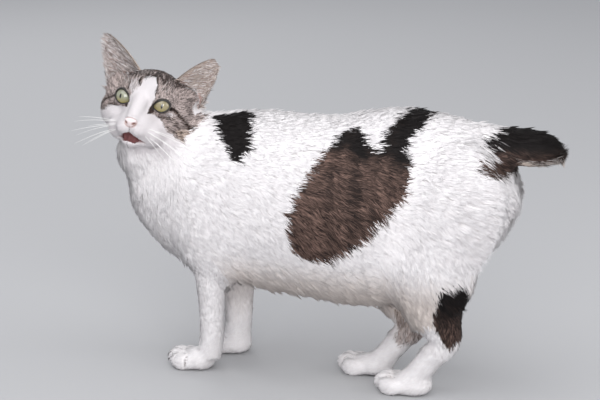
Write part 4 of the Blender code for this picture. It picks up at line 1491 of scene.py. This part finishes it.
spokes = tree.nodes.new("ShaderNodeTexNoise")
spokes.noise_dimensions = "2D"
spokes.inputs["Scale"].default_value = 1.0
spokes.inputs["Detail"].default_value = 3.0
spoke_place = tree.nodes.new("ShaderNodeCombineXYZ")
angle = math_node(tree, "ARCTAN2", upward, across)
tree.links.new(math_node(tree, "MULTIPLY", angle, SPOKES_ROUND), spoke_place.inputs[0])
tree.links.new(math_node(tree, "MULTIPLY", ring, SPOKES_OUT), spoke_place.inputs[1])
tree.links.new(spoke_place.outputs[0], spokes.inputs["Vector"])
print("nodes with the spokes:", len(tree.nodes))

# %% Colours of the iris
IRIS_PALE = (0.32, 0.27, 0.17, 1)
IRIS_DEEP = (0.24, 0.21, 0.11, 1)
IRIS_LOW = (0.34, 0.285, 0.10, 1)
IRIS_GREY = (0.26, 0.28, 0.21, 1)
IRIS_RIM_AND_SHADOW = (0.040, 0.034, 0.020, 1)
PUPIL = (0.004, 0.004, 0.004, 1)
SLIT_HALF, SLIT_TAPER = 0.115, 1.50

greyer = math_node(tree, "MULTIPLY", where.outputs["Blue"], 0.75)
# The top of the iris is darkened: a painted shadow of the upper lid.
lid_shadow = math_node(tree, "MULTIPLY", ramp_value(tree, upward, 0.25, 0.75), 0.55)
iris_colour = mix_colours(tree, spokes.outputs["Fac"], IRIS_DEEP, IRIS_PALE)
iris_colour = mix_colours(tree, greyer, iris_colour, IRIS_GREY)
iris_colour = mix_colours(tree, ramp_value(tree, upward, -0.05, -0.60), iris_colour, IRIS_LOW)
iris_colour = mix_colours(tree, lid_shadow, iris_colour, IRIS_RIM_AND_SHADOW)
iris_colour = mix_colours(tree, ramp_value(tree, ring, 0.76, 0.90), iris_colour, IRIS_RIM_AND_SHADOW)
slit_width = math_node(tree, "SUBTRACT", SLIT_HALF, math_node(tree, "MULTIPLY", squares, SLIT_TAPER))
inside_slit = math_node(tree, "SUBTRACT", slit_width, math_node(tree, "ABSOLUTE", across))
in_slit = ramp_value(tree, inside_slit, -0.02, 0.02)
iris_colour = mix_colours(tree, in_slit, iris_colour, PUPIL)
tree.links.new(iris_colour, shader.inputs["Base Color"])
print("nodes of the eye's material:", len(tree.nodes))

# %% Eyeballs
CORNEA_STARTS = 0.66
CORNEA_BULGE = 0.0009


def eyeball(side, node):
    """One eye: a ball turned to the gaze, its front pushed out, with places on the iris as marks."""
    bm = bmesh.new()
    bmesh.ops.create_uvsphere(bm, u_segments=64, v_segments=40, radius=EYE_RADIUS)
    turn = Matrix.Rotation(math.pi / 2, 4, "Y")
    grey = 1.0 if side > 0 else 0.0
    marks = []
    for vertex in bm.verts:
        vertex.co = turn @ vertex.co
        x, y, z = vertex.co / EYE_RADIUS
        marks.append((0.5 + 0.5 * y, 0.5 + 0.5 * z, grey))
        front = max(0.0, x - CORNEA_STARTS) / (1 - CORNEA_STARTS)
        vertex.co.x += CORNEA_BULGE * front
        vertex.co = gaze(side) @ vertex.co
    bmesh.ops.recalc_face_normals(bm, faces=bm.faces)
    mesh = bpy.data.meshes.new(node + "_ball")
    bm.to_mesh(mesh)
    bm.free()
    colour_attribute(mesh, "gaze", np.array(marks))
    mesh.shade_smooth()
    mesh.materials.append(iris)
    made = mesh_object(node + "_ball", mesh)
    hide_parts(node)
    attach(made, "root")


for side, node in ((-1, "eye_left"), (1, "eye_right")):
    eyeball(side, node)
    print(node, "is a ball of radius", EYE_RADIUS / MM, "mm")

# %% [markdown]
# ## Rims of the lids
# A cat looks as if its eyes were lined with ink: the edges of the lids are bare and black, and the line
# runs on to a point at the inner corner. Each rim is a tube that follows the opening on the ball. A curve
# with a bevel would make the same tube, but a mesh made here keeps its points where they are wanted.

# %% A tube along a line
rim_skin, tree, shader = material("lid rim", 0.40)
shader.inputs["Base Color"].default_value = (0.012, 0.009, 0.008, 1)
shader.inputs["Coat Weight"].default_value = 0.3


def tube(name, line, radii, closed, sides):
    """A smooth tube through the points of a line, with a radius at each."""
    points = np.array(line, float)
    ways = unit(np.roll(points, -1, axis=0) - np.roll(points, 1, axis=0))
    if not closed:
        ways = unit(np.gradient(points, axis=0))
    bm = bmesh.new()
    rings = []
    side = np.array((0.0, 0.0, 1.0))
    for point, way, radius in zip(points, ways, radii):
        side = unit(side - way * side.dot(way))
        up = np.cross(way, side)
        ring = []
        for i in range(sides):
            angle = 2 * math.pi * i / sides
            spot = point + radius * (side * math.cos(angle) + up * math.sin(angle))
            ring.append(bm.verts.new(spot))
        rings.append(ring)
    pairs = list(zip(rings, rings[1:]))
    if closed:
        pairs.append((rings[-1], rings[0]))
    else:
        bm.faces.new(reversed(rings[0]))
        bm.faces.new(rings[-1])
    for low, high in pairs:
        for i in range(sides):
            j = (i + 1) % sides
            bm.faces.new((low[i], low[j], high[j], high[i]))
    bmesh.ops.recalc_face_normals(bm, faces=bm.faces)
    mesh = bpy.data.meshes.new(name)
    bm.to_mesh(mesh)
    bm.free()
    mesh.shade_smooth()
    return mesh_object(name, mesh)


print("made the material", rim_skin.name)

# %% Rims along the openings
RIM_POINTS, RIM_SIDES = 64, 10
RIM_OUT = 0.0008
RIM_THIN, RIM_THICKER_ABOVE = 0.00066, 0.00040


def lid_line(side):
    """Points along the lid's edge, and how thick the rim is there."""
    line, radii = [], []
    for inward, up in lid_outline(RIM_POINTS, side):
        reach = math.sqrt(max((EYE_RADIUS + RIM_OUT) ** 2 - inward ** 2 - up ** 2, 1e-8))
        line.append(np.array(gaze(side) @ Vector((reach, side * inward, up))))
        radii.append(RIM_THIN + RIM_THICKER_ABOVE * max(0.0, up / (0.5 * OPENINGS[side][1])))
    return line, radii


for side, name in ((-1, "lid_rim_left"), (1, "lid_rim_right")):
    line, radii = lid_line(side)
    lid_rim = tube(name, line, radii, True, RIM_SIDES)
    lid_rim.data.materials.append(rim_skin)
    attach(lid_rim, "root")
    print(name, "faces:", len(lid_rim.data.polygons))

# %% [markdown]
# ## Nose
# The nose pad is a small cushion, wide above and narrow below, with two comma-shaped nostrils and a
# groove down its middle. A sphere is reshaped point by point, and its dents are kept as marks too, so
# that the material can darken them: the nostrils with their own darker skin and painted shade of the
# openings, the groove with painted shade.

# %% Leather of the nose
pad, tree, shader = material("nose leather", 0.55)
nose_dent_shade = tree.nodes.new("ShaderNodeSeparateColor")
tree.links.new(named_attribute(tree, "dent").outputs["Color"], nose_dent_shade.inputs[0])
PAD_PINK = (0.82, 0.71, 0.71, 1)
NOSTRIL_AND_SHADE = (0.200, 0.085, 0.055, 1)
pad_colour = mix_colours(tree, nose_dent_shade.outputs["Red"], PAD_PINK, NOSTRIL_AND_SHADE)
tree.links.new(pad_colour, shader.inputs["Base Color"])
grain = tree.nodes.new("ShaderNodeTexVoronoi")
grain.inputs["Scale"].default_value = 2600.0
pad_spot = tree.nodes.new("ShaderNodeTexCoord")
tree.links.new(pad_spot.outputs["Object"], grain.inputs["Vector"])
pad_bump = tree.nodes.new("ShaderNodeBump")
pad_bump.inputs["Strength"].default_value = 0.3
pad_bump.inputs["Distance"].default_value = 0.0003
tree.links.new(grain.outputs["Distance"], pad_bump.inputs["Height"])
tree.links.new(pad_bump.outputs["Normal"], shader.inputs["Normal"])
print("made the material", pad.name)

# %% Shape of the nose pad
PAD_HALF = Vector((0.0046, 0.0076, 0.0052))
NOSTRIL_OUT, NOSTRIL_WIDE, NOSTRIL_HIGH = 0.0044, 0.0021, 0.0013
NOSTRIL_DEEP = 0.0022
GROOVE_WIDE, GROOVE_DEEP = 0.0005, 0.0006


def nostril_depth(spot):
    """How much of a nostril a point of the pad lies in, from 0 to 1."""
    deep = 0.0
    for side in (-1, 1):
        out = side * spot.y - NOSTRIL_OUT
        away = Vector((out / NOSTRIL_WIDE, (spot.z + 0.0012 - 0.5 * out) / NOSTRIL_HIGH, 0))
        deep = max(deep, math.exp(-away.length_squared))
    return deep


def nose_mesh():
    """The pad: a ball made wide above and narrow below, with dents for the nostrils."""
    bm = bmesh.new()
    bmesh.ops.create_uvsphere(bm, u_segments=72, v_segments=48, radius=1.0)
    dents = []
    for vertex in bm.verts:
        x, y, z = vertex.co
        x = math.copysign(abs(x) ** 0.65, x)
        wide = PAD_HALF.y * (0.62 + 0.38 * min(1.0, max(0.0, 0.5 + 0.9 * z)))
        spot = Vector((x * PAD_HALF.x, y * wide, z * PAD_HALF.z - 0.0006 * abs(y)))
        spot = Matrix.Rotation(math.radians(-18), 3, "Y") @ spot
        nostril = nostril_depth(spot) if x < 0 else 0.0
        groove = 0.4 * math.exp(-(spot.y / GROOVE_WIDE) ** 2) if z < 0.2 and x < 0 else 0.0
        spot.x += NOSTRIL_DEEP * nostril + GROOVE_DEEP * groove
        # A dent's darkness is painted shade, and in the nostrils also their own darker skin.
        dents.append((min(1.0, 1.3 * nostril + 0.35 * groove), 0.0, 0.0))
        vertex.co = HEAD @ (Vector(NOSE_CENTRE) + spot)
    mesh = bpy.data.meshes.new("nose_pad")
    bm.to_mesh(mesh)
    bm.free()
    colour_attribute(mesh, "dent", np.array(dents))
    mesh.shade_smooth()
    return mesh


nose = mesh_object("nose_pad", nose_mesh())
nose.data.materials.append(pad)
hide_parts("nose")
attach(nose, "root")
print("nose pad, mm:", [round(2 * half / MM, 1) for half in PAD_HALF])

# %% [markdown]
# ## Whiskers
# Whiskers are stiff white hairs that taper to nothing and bow under their own weight. Each is a thin
# tube along a curve. They grow in rows from the whisker pads, with a few above the eyes.

# %% One whisker
hair_white, tree, shader = material("whisker", 0.35)
shader.inputs["Base Color"].default_value = (0.88, 0.87, 0.85, 1)
WHISKER_POINTS, WHISKER_SIDES = 14, 6
WHISKER_TIP = 0.00004


def whisker(name, side, root, way, length, droop, thick):
    """One whisker in the head's frame, as a tapered tube."""
    root, way = np.array(root), unit(np.array(way, float))
    line, radii = [], []
    for t in np.linspace(0, 1, WHISKER_POINTS):
        spot = root + way * length * t + np.array((0.25 * droop, 0.0, -droop)) * t * t
        line.append(from_head((spot[0], side * spot[1], spot[2])))
        radii.append(thick * (1 - t) ** 0.7 + WHISKER_TIP)
    made = tube(name, line, radii, False, WHISKER_SIDES)
    made.data.materials.append(hair_white)
    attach(made, "root")


print("made the material", hair_white.name)

# %% Whiskers of the muzzle and the brows
WHISKER_THICK, BROW_WHISKER_THICK = 0.00026, 0.00006
WHISKERS = (
    # root, direction, length, droop
    ((-0.0440, 0.0135, -0.0235), (0.10, 1.0, 0.02), 0.054, 0.008),
    ((-0.0410, 0.0150, -0.0240), (0.20, 1.0, -0.08), 0.060, 0.009),
    ((-0.0430, 0.0140, -0.0265), (0.14, 1.0, -0.24), 0.062, 0.008),
    ((-0.0395, 0.0160, -0.0270), (0.28, 1.0, -0.30), 0.058, 0.010),
    ((-0.0420, 0.0145, -0.0295), (0.18, 1.0, -0.46), 0.060, 0.009),
    ((-0.0385, 0.0160, -0.0300), (0.34, 1.0, -0.52), 0.052, 0.010),
    ((-0.0450, 0.0120, -0.0285), (0.05, 1.0, -0.62), 0.044, 0.006),
    ((-0.0455, 0.0115, -0.0255), (0.02, 1.0, -0.14), 0.040, 0.006),
)
BROW_WHISKERS = (
    ((-0.0290, 0.0190, 0.0190), (-0.15, 0.35, 1.0), 0.018, 0.002),
    ((-0.0270, 0.0230, 0.0190), (-0.05, 0.60, 1.0), 0.015, 0.002),
)
for side, label in ((-1, "left"), (1, "right")):
    for i, (root, way, length, droop) in enumerate(WHISKERS):
        whisker(f"whisker_{label}_{i + 1}", side, root, way, length, droop, WHISKER_THICK)
    for i, (root, way, length, droop) in enumerate(BROW_WHISKERS):
        whisker(f"brow_whisker_{label}_{i + 1}", side, root, way, length, droop, BROW_WHISKER_THICK)
print("whiskers:", 2 * len(WHISKERS + BROW_WHISKERS))

# %% [markdown]
# ## Floor, light and camera
# The cat stands on a pale floor under broad, soft lights, like the open shade of the photograph. Small
# lamps would throw hard shadows between the legs, so each lamp is more than a metre wide. The camera
# stands on the cat's left, a little to the rear, with a long lens that keeps the far paws from shrinking.

# %% Floor
FLOOR_HALF = 6.0

floor_mesh = bpy.data.meshes.new("floor")
corners = [(x * FLOOR_HALF, y * FLOOR_HALF, 0) for x, y in ((-1, -1), (1, -1), (1, 1), (-1, 1))]
floor_mesh.from_pydata(corners, [], [(0, 1, 2, 3)])
floor = mesh_object("floor", floor_mesh)
ground, tree, shader = material("floor", 0.85)
shader.inputs["Base Color"].default_value = (0.42, 0.42, 0.43, 1)
floor.data.materials.append(ground)
print("floor:", 2 * FLOOR_HALF, "m wide")

# %% Lights
LIT_POINT = Vector((0.0, 0.0, 0.16))


def area_light(name, place, size, power):
    """A square lamp that faces the middle of the cat."""
    lamp = bpy.data.lights.new(name, "AREA")
    lamp.size = size
    lamp.energy = power
    made = bpy.data.objects.new(name, lamp)
    bpy.context.scene.collection.objects.link(made)
    made.location = place
    made.rotation_mode = "QUATERNION"
    made.rotation_quaternion = (LIT_POINT - Vector(place)).to_track_quat("-Z", "Y")


area_light("sky", (-0.3, -1.0, 2.6), 2.6, 38)
area_light("open_side", (1.2, -2.4, 1.2), 1.8, 52)
area_light("far_side", (-1.5, 1.8, 1.6), 1.6, 13)
area_light("rear_side", (2.3, 0.4, 1.1), 1.6, 18)
print("lamps:", len(bpy.data.lights))

# %% Light of the sky
world = bpy.data.worlds.new("studio")
bpy.context.scene.world = world
world.use_nodes = True
world.node_tree.nodes["Background"].inputs["Color"].default_value = (0.84, 0.86, 0.90, 1)
world.node_tree.nodes["Background"].inputs["Strength"].default_value = 0.70
bpy.context.scene.view_settings.view_transform = "Standard"
print("colours are shown as", bpy.context.scene.view_settings.view_transform)

# %% Camera
AIM = Vector((-0.0085, -0.0025, 0.1836)) + Vector(MOVED)
AZIMUTH, ELEVATION, DISTANCE = math.radians(22), math.radians(14), 2.2
back = Vector((math.sin(AZIMUTH) * math.cos(ELEVATION), -math.cos(AZIMUTH) * math.cos(ELEVATION),
               math.sin(ELEVATION)))
lens = bpy.data.cameras.new("camera")
lens.lens = 125.4
lens.sensor_width = 36
camera = bpy.data.objects.new("camera", lens)
bpy.context.scene.collection.objects.link(camera)
camera.location = AIM + back * DISTANCE
camera.rotation_mode = "QUATERNION"
camera.rotation_quaternion = (-back).to_track_quat("-Z", "Y")
bpy.context.scene.camera = camera
print("camera:", round(DISTANCE, 2), "m away, lens", round(lens.lens, 1), "mm")
